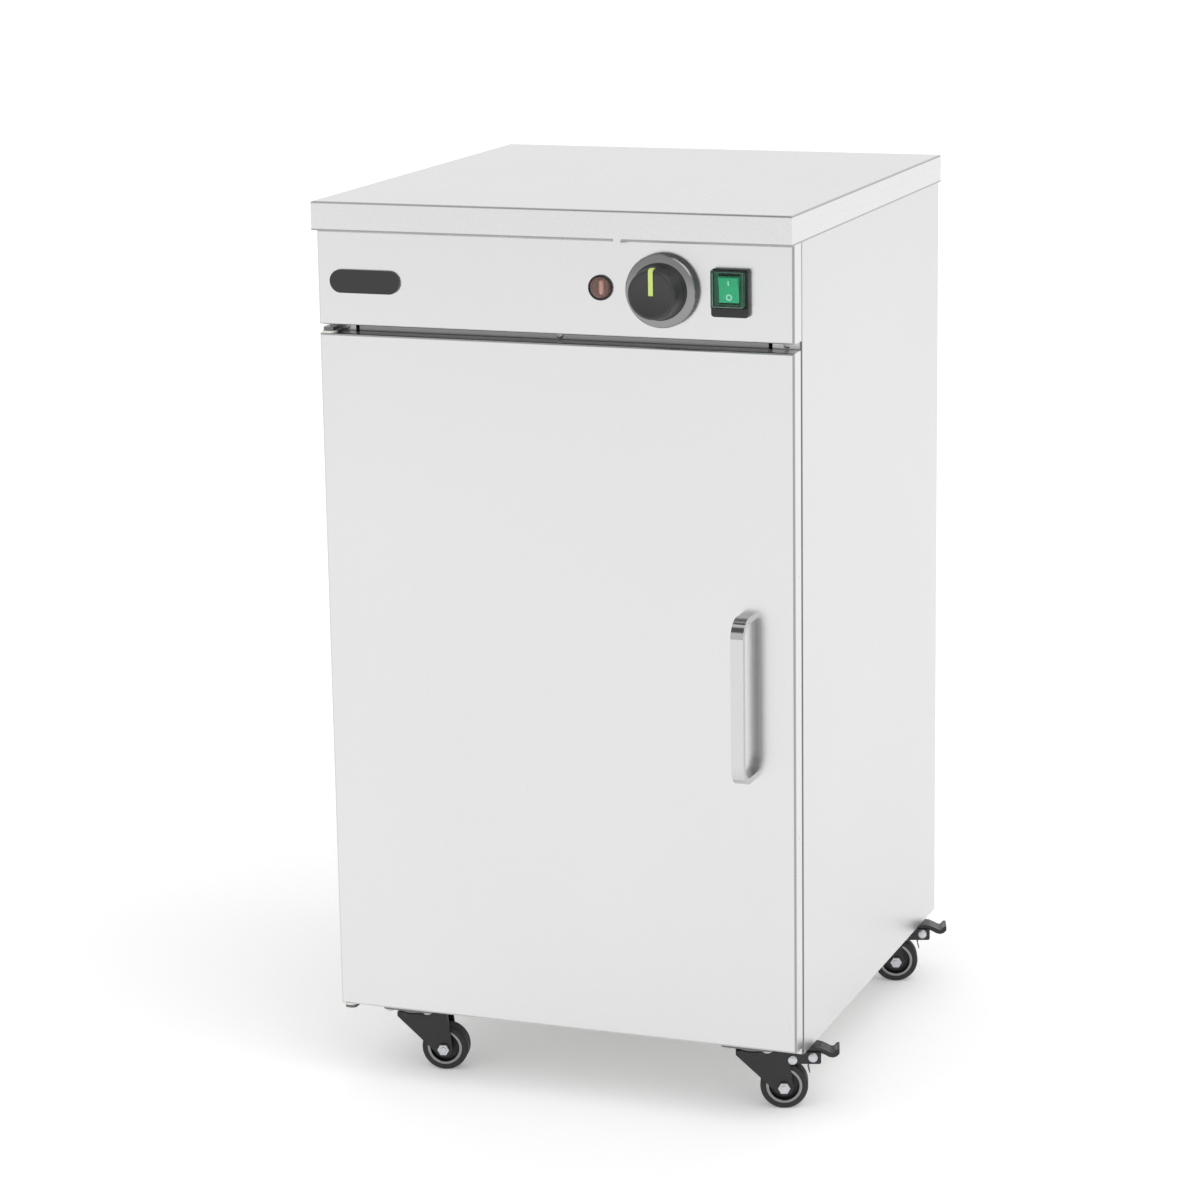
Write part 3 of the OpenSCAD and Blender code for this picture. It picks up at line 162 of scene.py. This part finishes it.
# Colour, roughness, metal, grain, then how far colour and roughness vary, bump and clouds
FINISHES = {
    "steel_front": (STEEL, 0.25, 1.0, ALONG_Z, 0.012, 0.03, 0.02, 0.012),
    "steel_side": (even(0.73), 0.32, 1.0, ALONG_Z, 0.012, 0.03, 0.02, 0.012),
    "steel_top": (STEEL, 0.26, 1.0, ALONG_Y, 0.015, 0.04, 0.02, 0.012),
    # Painted shade: the next two are darker copies of the sheet steel for the dark reflections on
    # folds; the second also shades the handle's back and the worktop's hem
    "level_fold_painted_shade": (even(0.6), 0.2, 1.0, ALONG_X, 0.03, 0.04, 0.02, 0.02),
    "upright_painted_shade": (even(0.36), 0.22, 1.0, ALONG_Z, 0.03, 0.04, 0.02, 0.02),
    # Near-black steel: painted shade on the side panels' folds, and the finish of the hinge
    # brackets and caster plates
    "dark_steel_and_fold_shade": (even(0.17), 0.3, 1.0, ALONG_Z, 0.04, 0.05, 0.02, 0.03),
    # Painted shade: darker steel for the front rail, deep in the gap under the control panel
    "gap_painted_shade_steel": (even(0.42), 0.35, 1.0, ALONG_X, 0.04, 0.05, 0.03, 0.03),
    "chamber_steel": ((0.66, 0.66, 0.65), 0.38, 1.0, ALONG_Y, 0.03, 0.05, 0.04, 0.03),
    "plain_steel": (even(0.5), 0.35, 1.0, ALONG_X, 0.05, 0.08, 0.05, 0.04),
    "polished_steel": (even(0.64), 0.07, 1.0, ALONG_Z, 0.02, 0.03, 0.02, 0.01),
    "wire_chrome": ((0.75, 0.75, 0.76), 0.14, 1.0, even(500), 0.03, 0.04, 0.02, 0.02),
    "zinc_steel": ((0.6, 0.61, 0.64), 0.3, 1.0, even(500), 0.08, 0.08, 0.06, 0.05),
    "black_steel": ((0.012, 0.012, 0.013), 0.32, 0.0, even(400), 0.15, 0.07, 0.12, 0.05),
    "element_steel": ((0.16, 0.14, 0.13), 0.5, 0.8, (300, 60, 300), 0.2, 0.1, 0.1, 0.15),
    "knob_ring": ((0.29, 0.29, 0.295), 0.2, 1.0, even(900), 0.04, 0.05, 0.03, 0.0),
    "knob_grey": ((0.03, 0.03, 0.031), 0.38, 0.0, even(900), 0.12, 0.05, 0.1, 0.04),
    "black_plastic": ((0.018, 0.018, 0.019), 0.42, 0.0, even(700), 0.15, 0.06, 0.12, 0.05),
    "grey_plastic": ((0.022, 0.022, 0.023), 0.35, 0.0, even(900), 0.12, 0.05, 0.1, 0.04),
    "magnet_black": (even(0.02), 0.5, 0.0, even(600), 0.12, 0.06, 0.1, 0.04),
    "rubber_seal": ((0.06, 0.06, 0.062), 0.7, 0.0, even(700), 0.15, 0.08, 0.2, 0.08),
    "tyre_black": (even(0.02), 0.62, 0.0, even(500), 0.18, 0.08, 0.2, 0.08),
    "nylon": ((0.82, 0.8, 0.74), 0.5, 0.0, even(600), 0.04, 0.05, 0.06, 0.03),
    "ceramic": ((0.78, 0.75, 0.68), 0.6, 0.0, even(600), 0.05, 0.06, 0.08, 0.03),
    "wool": ((0.72, 0.62, 0.36), 0.95, 0.0, (500, 500, 120), 0.2, 0.03, 0.6, 0.1),
    "cable_red": ((0.5, 0.05, 0.04), 0.5, 0.0, even(900), 0.08, 0.06, 0.08, 0.05),
    "pointer_green": ((0.58, 0.72, 0.19), 0.45, 0.0, even(500), 0.05, 0.05, 0.03, 0.0),
    "rocker_green": ((0.04, 0.52, 0.3), 0.22, 0.0, even(500), 0.06, 0.04, 0.02, 0.0),
    "dark_green": ((0.012, 0.085, 0.05), 0.3, 0.0, even(500), 0.1, 0.05, 0.05, 0.0),
    "mark_white": (even(1.0), 0.4, 0.0, even(500), 0.03, 0.04, 0.02, 0.0),
    "cover_clear": ((0.62, 0.9, 0.78), 0.06, 0.0, even(300), 0.05, 0.03, 0.02, 0.0),
    "lamp_glass": ((0.82, 0.6, 0.54), 0.06, 0.0, even(500), 0.05, 0.04, 0.03, 0.0),
    "lamp_cup": ((0.3, 0.15, 0.12), 0.5, 0.0, even(500), 0.1, 0.05, 0.05, 0.0),
    "lamp_tube": (even(1.0), 0.2, 0.0, even(500), 0.06, 0.05, 0.03, 0.0),
}
EXTRAS = {
    "cover_clear": {"Transmission_Weight": 1.0, "IOR": 1.25},
    "lamp_glass": {"Transmission_Weight": 0.9, "IOR": 1.3},
    "lamp_tube": {"Coat_Weight": 0.3},
    "rocker_green": {"Coat_Weight": 0.4},
}
mats = {name: material(name, *values, **EXTRAS.get(name, {}))
        for name, values in FINISHES.items()}

# ---------- finish of the CAD nodes ----------

# Nodes whose finish isn't the one that their slot in the record is named after; the front rail's
# darker steel is painted shade for the gap it sits in
FINISH_OF = {
    "top_cover": "steel_top", "side_panel_left": "steel_side", "side_panel_right": "steel_side",
    "rear_panel": "steel_side", "front_rail": "gap_painted_shade_steel", "hinge_brackets": "dark_steel_and_fold_shade",
    "caster_plates": "dark_steel_and_fold_shade",
}
FINISH_OF.update(("hub_" + key, "black_plastic") for key in CASTERS)

# Sheets whose folds get painted shade, darker steel standing in for the dark reflections on their
# bends, with the finish of the upright ones
FOLDED = {
    "top_cover": "upright_painted_shade", "control_panel": "upright_painted_shade", "door_outer": "upright_painted_shade",
    "front_rail": "upright_painted_shade", "side_panel_left": "dark_steel_and_fold_shade", "side_panel_right": "dark_steel_and_fold_shade",
}
# A face is on a fold where no part of its normal reaches FLAT, and the fold counts as a level
# one where its normal leans up, down or to the left by more than LEAN
FLAT, LEAN = 0.995, 0.1

# Angles in degrees between faces that are joined as one, and over which an edge is rounded
JOIN_ANGLE, ROUND_ANGLE = 0.5, 35
# Width in millimetres of the small rounding of each piece's edges
EDGES = {
    "top_cover": 0.3, "side_panel_left": 0.3, "side_panel_right": 0.3, "control_panel": 0.3,
    "door_outer": 0.3, "front_rail": 0.3, "base_pan": 0.3, "badge_plate": 0.6,
    "switch_housing": 0.5, "rocker": 0.5, "door_handle": 1.6, "cable_bush": 0.6,
    "caster_plates": 0.4, "door_magnet": 0.5, "hinge_brackets": 0.4, "terminal_block": 0.5,
}
EDGES.update(("fork_" + key, 0.4) for key in CASTERS)
EDGES.update(("brake_pedal_" + key, 0.4) for key in BRAKED)


def smooth_edges(obj, width):
    """Joins coplanar triangles and rounds the sharp edges that are left."""
    flat = obj.modifiers.new("join_flat", "DECIMATE")
    flat.decimate_type = "DISSOLVE"
    flat.angle_limit = math.radians(JOIN_ANGLE)
    bevel = obj.modifiers.new("edge", "BEVEL")
    bevel.width = width * MM
    bevel.segments = 2
    bevel.limit_method = "ANGLE"
    bevel.angle_limit = math.radians(ROUND_ANGLE)


def paint_fold_shade(mesh, upright):
    """Paints shade on a sheet's folds: darker steel for the dark reflections on the bends, one for
    level folds and one for upright ones.
    """
    mesh.materials.append(mats["level_fold_painted_shade"])
    mesh.materials.append(mats[upright])
    for face in mesh.polygons:
        if max(abs(part) for part in face.normal) < FLAT:
            is_level = abs(face.normal.z) > LEAN or face.normal.x < -LEAN
            face.material_index = 1 if is_level else 2


def paint_handle_shade(mesh):
    """Paints shade on the handle's faces on the door's side: darker steel for their shadowed back,
    which the door reflects.
    """
    mesh.materials.append(mats["upright_painted_shade"])
    for face in mesh.polygons:
        if face.normal.y > 0.5:
            face.material_index = 1


slot_of = {row["node"]: row["material_slot"] for row in frame["record"]["subparts"]}
for name, obj in frame["nodes"].items():
    own = "steel_front" if slot_of[name] == "sheet_steel" else slot_of[name]
    obj.data.materials.clear()
    obj.data.materials.append(mats[FINISH_OF.get(name, own)])
    if name in FOLDED:
        paint_fold_shade(obj.data, FOLDED[name])
    if name == "door_handle":
        paint_handle_shade(obj.data)
    if name in EDGES:
        smooth_edges(obj, EDGES[name])


# ---------- pieces built here ----------

def add(name, bm, finish, body, hides=(), keep=35):
    """Makes a piece out of a finished mesh and hangs it on a body.

    Edges sharper than keep, in degrees, stay sharp."""
    bmesh.ops.recalc_face_normals(bm, faces=bm.faces)
    mesh = bpy.data.meshes.new(name)
    bm.to_mesh(mesh)
    bm.free()
    mesh.materials.append(mats[finish])
    mesh.shade_smooth()
    mesh.set_sharp_from_angle(angle=math.radians(keep))
    obj = bpy.data.objects.new(name, mesh)
    bpy.context.collection.objects.link(obj)
    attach(obj, body)
    if hides:
        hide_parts(*hides)


def frame_of(centre, axis):
    """A matrix whose Z is the axis, at a point given in the cabinet's millimetres."""
    turn = Vector(axis).to_track_quat("Z", "Y").to_matrix().to_4x4()
    return Matrix.Translation(at(*centre)) @ turn


def on_circle(r, i, steps):
    """The i-th of so many points round a circle."""
    angle = math.tau * i / steps
    return r * math.cos(angle), r * math.sin(angle)


def lathe(bm, profile, centre, axis, steps=64):
    """Turned solid: the profile is (radius, height) in millimetres along the axis."""
    place = frame_of(centre, axis)
    rings = []
    for r, h in profile:
        points = [on_circle(r, i, steps) for i in range(steps if r > 0 else 1)]
        rings.append([bm.verts.new(place @ Vector((x * MM, y * MM, h * MM))) for x, y in points])
    for low, high in zip(rings, rings[1:]):
        for i in range(steps):
            j = (i + 1) % steps
            loop = [low[i % len(low)], low[j % len(low)], high[j % len(high)], high[i % len(high)]]
            corners = list(dict.fromkeys(loop))
            if len(corners) > 2:
                bm.faces.new(corners)
    return rings


def band(bm, low, high):
    """Joins two closed rows of corners by a band of faces."""
    for i in range(len(low)):
        j = (i + 1) % len(low)
        bm.faces.new([low[i], low[j], high[j], high[i]])


def slab(bm, lo, hi):
    """Box between two corners in the cabinet's millimetres."""
    low, high = at(*lo), at(*hi)
    made = bmesh.ops.create_cube(bm, size=1)["verts"]
    middle, span = (low + high) / 2, high - low
    for v in made:
        v.co = middle + Vector(v.co[i] * span[i] for i in range(3))


def cross_head(bm, centre, axis, r, t):
    """Low domed screw head with a cross recess."""
    steps = 32
    place = frame_of(centre, axis)
    rings = lathe(bm, [(r, 0), (r, 0.25 * t), (0.9 * r, 0.7 * t), (0.66 * r, t)], centre, axis,
                  steps)
    bm.faces.new(rings[0])
    arm, half = 0.5 * r, 0.11 * r
    outline = [(arm, -half), (arm, half), (half, half), (half, arm), (-half, arm), (-half, half),
               (-arm, half), (-arm, -half), (-half, -half), (-half, -arm), (half, -arm),
               (half, -half)]
    top, foot = ([bm.verts.new(place @ Vector((x * MM, y * MM, z * MM))) for x, y in outline]
                 for z in (t, 0.35 * t))
    count = len(outline)
    edges = [bm.edges.new((top[i], top[(i + 1) % count])) for i in range(count)]
    rim = [bm.edges.get((rings[-1][i], rings[-1][(i + 1) % steps])) for i in range(steps)]
    bmesh.ops.triangle_fill(bm, use_beauty=True, edges=edges + rim)
    band(bm, top, foot)
    bm.faces.new(foot)


def worktop_hem():
    """Turned-in hem along the worktop's lower edge, a hair proud of it and open at the tab; its
    darker steel is painted shade for the dark line under that edge.
    """
    bm = bmesh.new()
    half_w, half_d = TOP_W / 2, TOP_D / 2
    thick, proud, front_proud = 0.6, 0.05, 0.06
    low, high = DECK_Z - proud, DECK_Z + 1.3
    for start, end in ((-half_w, TAB_START), (TAB_END, half_w)):
        slab(bm, (start, -half_d - front_proud, low), (end, -half_d + thick, high))
    for side in (-1, 1):
        start, end = sorted((side * (half_w - thick), side * (half_w + proud)))
        slab(bm, (start, -half_d, low), (end, half_d, high))
    add("worktop_hem", bm, "upright_painted_shade", "cabinet")


def knob_bezel():
    """Ring behind the knob: a silver face over a dark wall."""
    centre = (KNOB_X, FACE_Y, CONTROL_Z)
    bm = bmesh.new()
    lathe(bm, [(10.2, 0), (10.2, 9.8), (25.6, 10.4), (31.2, 9.0), (32.0, 8.2), (32.4, 6.6),
               (31.7, 6.6), (31.7, 0), (10.2, 0)], centre, FRONTWARD, 96)
    add("bezel_face", bm, "knob_ring", "cabinet", hides=("knob_bezel",), keep=30)
    bm = bmesh.new()
    lathe(bm, [(31.7, 0), (31.7, 6.6), (32.5, 6.6), (32.5, 0.8), (32.3, 0), (31.7, 0)], centre,
          FRONTWARD, 96)
    add("bezel_wall", bm, "black_plastic", "cabinet", keep=30)


def knob_shell():
    """Knob: foot flange, drawn-in side, rounded rim round a flat face."""
    bm = bmesh.new()
    lathe(bm, [(0, 0), (24.6, 0), (25.2, 0.6), (25.2, 1.7), (24.9, 2.2), (24.3, 2.4), (24.1, 3.0),
               (23.7, 7), (22.9, 13), (22.0, 18.4), (21.5, 20.2), (20.7, 21.4), (19.4, 22),
               (18.6, 21.9), (18.2, 21.6), (0, 21.6)], (KNOB_X, KNOB_FOOT_Y, CONTROL_Z),
          FRONTWARD, 96)
    add("knob_shell", bm, "knob_grey", "knob_body", hides=("knob",), keep=40)


def pointer_strip():
    """Pointer: a raised strip over the knob's face, rim and side."""
    bm = bmesh.new()
    half = 2.1
    # Distance from the knob's axis and height over its foot
    path = [(0, 22.35), (10, 22.35), (18.8, 22.45), (20.6, 22.2), (21.9, 21.2), (22.5, 19.8),
            (22.9, 15)]
    # Place across the strip, and how far each corner lies back and down
    section = [(-half, 1.0, 1.0), (-half, 0.15, 0), (0, 0, 0), (half, 0.15, 0), (half, 1.0, 1.0)]
    rows = [[bm.verts.new(at(KNOB_X + x, KNOB_FOOT_Y - h + back, CONTROL_Z + r - down))
             for x, back, down in section] for r, h in path]
    for low, high in zip(rows, rows[1:]):
        band(bm, low, high)
    bm.faces.new(rows[0])
    bm.faces.new(rows[-1])
    add("pointer_strip", bm, "pointer_green", "knob_body",
        hides=("knob_pointer",))


def pilot_lamp():
    """Pilot lamp: ring with its body, neon tube, lining and domed lens."""
    centre = (LAMP_X, FACE_Y, CONTROL_Z)
    bm = bmesh.new()
    lathe(bm, [(9.9, 2.0), (10.0, 2.5), (10.4, 2.8), (10.8, 2.7), (11.1, 2.3), (11.25, 1.6),
               (11.25, 0), (8.05, 0), (8.05, -26), (0, -26), (0, -18), (7.2, -18), (7.2, 0.1),
               (9.9, 0.3), (9.9, 2.0)], centre, FRONTWARD)
    add("lamp_ring", bm, "black_plastic", "cabinet", hides=("pilot_lamp",))
    bm = bmesh.new()
    lathe(bm, [(0, -6.3), (1.4, -5.8), (2.1, -4.6), (2.1, 4.2), (1.5, 5.6), (0.6, 6.2), (0, 6.3)],
          (LAMP_X, FACE_Y + 2.2, CONTROL_Z), UPWARD, 24)
    add("lamp_neon", bm, "lamp_tube", "cabinet")
    bm = bmesh.new()
    lathe(bm, [(0, -9), (7.1, -9), (7.1, 0), (6.9, 0), (6.9, -8.6), (0, -8.6)], centre, FRONTWARD,
          48)
    add("lamp_lining", bm, "lamp_cup", "cabinet")
    bm = bmesh.new()
    lathe(bm, [(0, 0.5), (9.6, 0.5), (9.7, 1.9), (8.6, 3.0), (6.2, 3.9), (3.3, 4.4), (0, 4.6)],
          centre, FRONTWARD, 48)
    add("lamp_dome", bm, "lamp_glass", "cabinet", hides=("lamp_lens",), keep=60)


def switch_plate():
    """Green plate round the rocker, under the clear cover."""
    bm = bmesh.new()
    hole_w, hole_h = 9.6, 13.2
    half_w, half_h = 13.6, 14.6
    front, back = FACE_Y - 5.3, FACE_Y - 4.9
    for side in (-1, 1):
        start, end = sorted((side * hole_w, side * half_w))
        slab(bm, (SWITCH_X + start, front, COVER_Z - half_h),
             (SWITCH_X + end, back, COVER_Z + half_h))
        low, high = sorted((side * hole_h, side * half_h))
        slab(bm, (SWITCH_X - hole_w, front, COVER_Z + low),
             (SWITCH_X + hole_w, back, COVER_Z + high))
    add("switch_plate", bm, "dark_green", "cabinet")


def on_rocker(x, lift, z):
    """A point at this height over the rocker's face, turned with it to its rest position."""
    y = -(ROCKER_MIDDLE + ROCKER_RISE * abs(z) / ROCKER_HALF + lift)
    cos, sin = math.cos(ROCKER_TILT), math.sin(ROCKER_TILT)
    return at(SWITCH_X + x, ROCKER_Y + y * cos - z * sin, COVER_Z + y * sin + z * cos)


def rocker_marks():
    """A bar on the rocker's upper slope and a ring on its lower one."""
    bm = bmesh.new()
    sunk, proud = -0.3, 0.12
    half, foot_z, head_z = 0.65, 4.2, 8.4
    bar = [(-half, foot_z), (half, foot_z), (half, head_z), (-half, head_z)]
    back, front = ([bm.verts.new(on_rocker(x, lift, z)) for x, z in bar]
                   for lift in (sunk, proud))
    band(bm, back, front)
    bm.faces.new(back)
    bm.faces.new(front)

    steps, inner, outer, ring_z = 32, 1.7, 2.8, -6.4
    rows = []
    for r, lift in ((inner, sunk), (inner, proud), (outer, proud), (outer, sunk)):
        points = [on_circle(r, i, steps) for i in range(steps)]
        rows.append([bm.verts.new(on_rocker(x, lift, ring_z + z)) for x, z in points])
    for row, after in zip(rows, rows[1:] + rows[:1]):
        band(bm, row, after)
    add("rocker_marks", bm, "mark_white", "rocker_body")


def screw_heads():
    """Screws of the front rail and the back, and screws and nuts of the casters' plates."""
    bm = bmesh.new()
    sheet_screw, caster_screw = (3.2, 1.4), (4.8, 2.6)
    for x in (-206.5, 0, 210.75):
        cross_head(bm, (x, RAIL_Y, 714), FRONTWARD, *sheet_screw)
    rows, lowest_z, highest_z = 4, 95, 774
    for side in (-1, 1):
        for i in range(rows):
            z = lowest_z + i * (highest_z - lowest_z) / (rows - 1)
            cross_head(bm, (side * 217, BACK_Y, z), BACKWARD, *sheet_screw)
    spread, plate_z, nut_z = 19, 62.5, 66.2
    for x in (-CASTER_X, CASTER_X):
        for y in (FRONT_CASTER_Y, BACK_CASTER_Y):
            for i in (-spread, spread):
                for j in (-spread, spread):
                    cross_head(bm, (x + i, y + j, plate_z), DOWNWARD, *caster_screw)
                    lathe(bm, [(0, 0), (5.7, 0), (5.7, 4.5), (0, 4.5)], (x + i, y + j, nut_z),
                          UPWARD, 6)
    add("screw_heads", bm, "zinc_steel", "cabinet", hides=("body_screws",))


def turn_of(key):
    """Cosine and sine of the angle that a caster is turned by."""
    angle = math.radians(CASTERS[key][2])
    return math.cos(angle), math.sin(angle)


def on_fork(key, along, side, z):
    """The point at a length along a caster's fork from its kingpin, and a distance across it."""
    x, y = CASTERS[key][:2]
    cos, sin = turn_of(key)
    return x + along * cos - side * sin, y + along * sin + side * cos, z


def across(key, side=1):
    """The direction across a caster's fork, towards one side of it or the other."""
    cos, sin = turn_of(key)
    return (-side * sin, side * cos, 0)


def pin(bm, key, along, z, r, steps):
    """A plain round pin from one cheek of a caster's fork to the other."""
    lathe(bm, [(0, -FORK_OUT), (r, -FORK_OUT), (r, FORK_OUT), (0, FORK_OUT)],
          on_fork(key, along, 0, z), across(key), steps)


def caster_bolts(key):
    """A caster's axle bolt with chamfered nuts, and the domed rivets of a braked one."""
    nut = [(0, 0), (5.3, 0), (5.75, 0.3), (5.75, 3.5), (5.1, 4), (0, 4)]
    bolt_end = [(0, 0), (3, 0), (3, 4.7), (2.7, 5), (0, 5)]
    dome = [(0, 0), (4.5, 0), (4.5, 0.5), (4.1, 1.1), (3.2, 1.6), (1.8, 1.9), (0, 2)]
    rivets = RIVETS if key in BRAKED else ()
    bm = bmesh.new()
    for side in (-1, 1):
        outward = across(key, side)
        end = on_fork(key, TRAIL, side * FORK_OUT, AXLE_Z)
        lathe(bm, nut, end, outward, 6)
        lathe(bm, bolt_end, end, outward, 24)
        for along, z in rivets:
            lathe(bm, dome, on_fork(key, along, side * FORK_OUT, z), outward, 32)
    pin(bm, key, TRAIL, AXLE_Z, 3, 32)
    for along, z in rivets:
        pin(bm, key, along, z, 2, 24)
    add("bolts_" + key, bm, "zinc_steel", "swivel_" + key, hides=("axle_" + key,),
        keep=25)


def wheel_ring(key):
    """A bright ring on each side of a wheel."""
    bm = bmesh.new()
    for side in (-1, 1):
        lathe(bm, [(13.6, 0), (13.8, 0.5), (14.3, 0.8), (16.2, 0.8), (16.7, 0.5), (16.9, 0),
                   (13.6, 0)], on_fork(key, TRAIL, side * RING_OUT, AXLE_Z), across(key, side))
    add("wheel_ring_" + key, bm, "knob_ring", "wheel_" + key, keep=50)


worktop_hem()
knob_bezel()
knob_shell()
pointer_strip()
pilot_lamp()
switch_plate()
rocker_marks()
screw_heads()
for key in CASTERS:
    caster_bolts(key)
    wheel_ring(key)

# ---------- camera ----------

YAW, PITCH, ROLL = (math.radians(a) for a in (20.6, 13.23, -0.9))
CAMERA_PLACE = (1160.15, -3206.26, 1227.5)
# Focal length and width of the picture in pixels, and width of the sensor in millimetres
FOCAL_PIXELS, PICTURE_PIXELS, SENSOR = 3663, 1200, 36
FAR_CLIP = 50

forward = Vector((-math.sin(YAW) * math.cos(PITCH), math.cos(YAW) * math.cos(PITCH),
                  -math.sin(PITCH)))
level = Vector((math.cos(YAW), math.sin(YAW), 0))
raised = level.cross(forward)
right = level * math.cos(ROLL) + raised * math.sin(ROLL)
up = raised * math.cos(ROLL) - level * math.sin(ROLL)
cam_data = bpy.data.cameras.new("camera")
cam_data.sensor_width = SENSOR
cam_data.lens = SENSOR * FOCAL_PIXELS / PICTURE_PIXELS
cam_data.clip_end = FAR_CLIP
camera = bpy.data.objects.new("camera", cam_data)
bpy.context.collection.objects.link(camera)
pose = Matrix((right, up, -forward)).transposed().to_4x4()
pose.translation = at(*CAMERA_PLACE)
camera.matrix_world = pose
bpy.context.scene.camera = camera

# ---------- floor, world and lamps ----------

WHITE = (1, 1, 1, 1)
PAPER = (0.92, 0.92, 0.92, 1)
PAPER_GLOW = 0.2
FLOOR_HALF = 14
AMBIENT, DARK_STRETCH = 0.7, 0.12
# Towards the dark stretch of the room, and the cosines at which it starts and is full
DARK_TOWARD = (0.06, -0.6, 0.8)
DARK_START, DARK_FULL = 0.87, 0.92


def paper_floor():
    """A pale floor that takes the object's shadow."""
    bm = bmesh.new()
    bmesh.ops.create_grid(bm, x_segments=2, y_segments=2, size=FLOOR_HALF)
    mesh = bpy.data.meshes.new("floor")
    bm.to_mesh(mesh)
    bm.free()
    floor = bpy.data.objects.new("floor", mesh)
    bpy.context.collection.objects.link(floor)
    mat = bpy.data.materials.new("floor")
    mat.use_nodes = True
    tree = mat.node_tree
    tree.nodes.clear()
    out = new_node(tree, "ShaderNodeOutputMaterial")
    paper = new_node(tree, "ShaderNodeBsdfDiffuse", Color=PAPER)
    glow = new_node(tree, "ShaderNodeEmission", Strength=PAPER_GLOW)
    total = new_node(tree, "ShaderNodeAddShader")
    tree.links.new(paper.outputs[0], total.inputs[0])
    tree.links.new(glow.outputs[0], total.inputs[1])
    tree.links.new(total.outputs[0], out.inputs["Surface"])
    mesh.materials.append(mat)


def studio_world():
    """White to the camera and through glass, a plain level on the object, and to metal also a
    dark stretch of the room, high up in front."""
    world = bpy.data.worlds.new("studio")
    bpy.context.scene.world = world
    world.use_nodes = True
    tree = world.node_tree
    tree.nodes.clear()
    link = tree.links.new
    out = new_node(tree, "ShaderNodeOutputWorld")
    rays = new_node(tree, "ShaderNodeLightPath")
    shown = new_node(tree, "ShaderNodeBackground", Color=WHITE, Strength=1.0)
    ambient = new_node(tree, "ShaderNodeBackground", Color=WHITE, Strength=AMBIENT)
    dim = new_node(tree, "ShaderNodeBackground", Color=WHITE, Strength=DARK_STRETCH)

    toward = new_node(tree, "ShaderNodeTexCoord")
    lean = new_node(tree, "ShaderNodeVectorMath", "DOT_PRODUCT")
    lean.inputs[1].default_value = Vector(DARK_TOWARD).normalized()
    link(toward.outputs["Generated"], lean.inputs[0])
    patch = new_node(tree, "ShaderNodeMapRange", From_Min=DARK_START, From_Max=DARK_FULL)
    patch.interpolation_type = "SMOOTHSTEP"
    link(lean.outputs["Value"], patch.inputs["Value"])
    seen = new_node(tree, "ShaderNodeMath", "MULTIPLY")
    link(patch.outputs["Result"], seen.inputs[0])
    link(rays.outputs["Is Glossy Ray"], seen.inputs[1])
    room = new_node(tree, "ShaderNodeMixShader")
    link(seen.outputs[0], room.inputs["Fac"])
    link(ambient.outputs[0], room.inputs[1])
    link(dim.outputs[0], room.inputs[2])

    either = new_node(tree, "ShaderNodeMath", "MAXIMUM")
    link(rays.outputs["Is Camera Ray"], either.inputs[0])
    link(rays.outputs["Is Transmission Ray"], either.inputs[1])
    choice = new_node(tree, "ShaderNodeMixShader")
    link(either.outputs[0], choice.inputs["Fac"])
    link(room.outputs[0], choice.inputs[1])
    link(shown.outputs[0], choice.inputs[2])
    link(choice.outputs[0], out.inputs["Surface"])


def sun(name, toward, strength, spread, mirrored=True):
    """A soft distant lamp that shines from a direction."""
    data = bpy.data.lights.new(name, "SUN")
    data.energy = strength
    data.angle = math.radians(spread)
    lamp = bpy.data.objects.new(name, data)
    lamp.rotation_euler = Vector(toward).to_track_quat("Z", "Y").to_euler()
    lamp.visible_glossy = mirrored
    bpy.context.collection.objects.link(lamp)


paper_floor()
studio_world()
sun("key", (0.9, -0.5, 1.4), 0.75, 50)
sun("fill", (-0.9, -1.1, 0.9), 0.35, 70, mirrored=False)
sun("rim", (-0.35, 0.9, 0.45), 0.2, 60)

bpy.context.scene.view_settings.view_transform = "Standard"
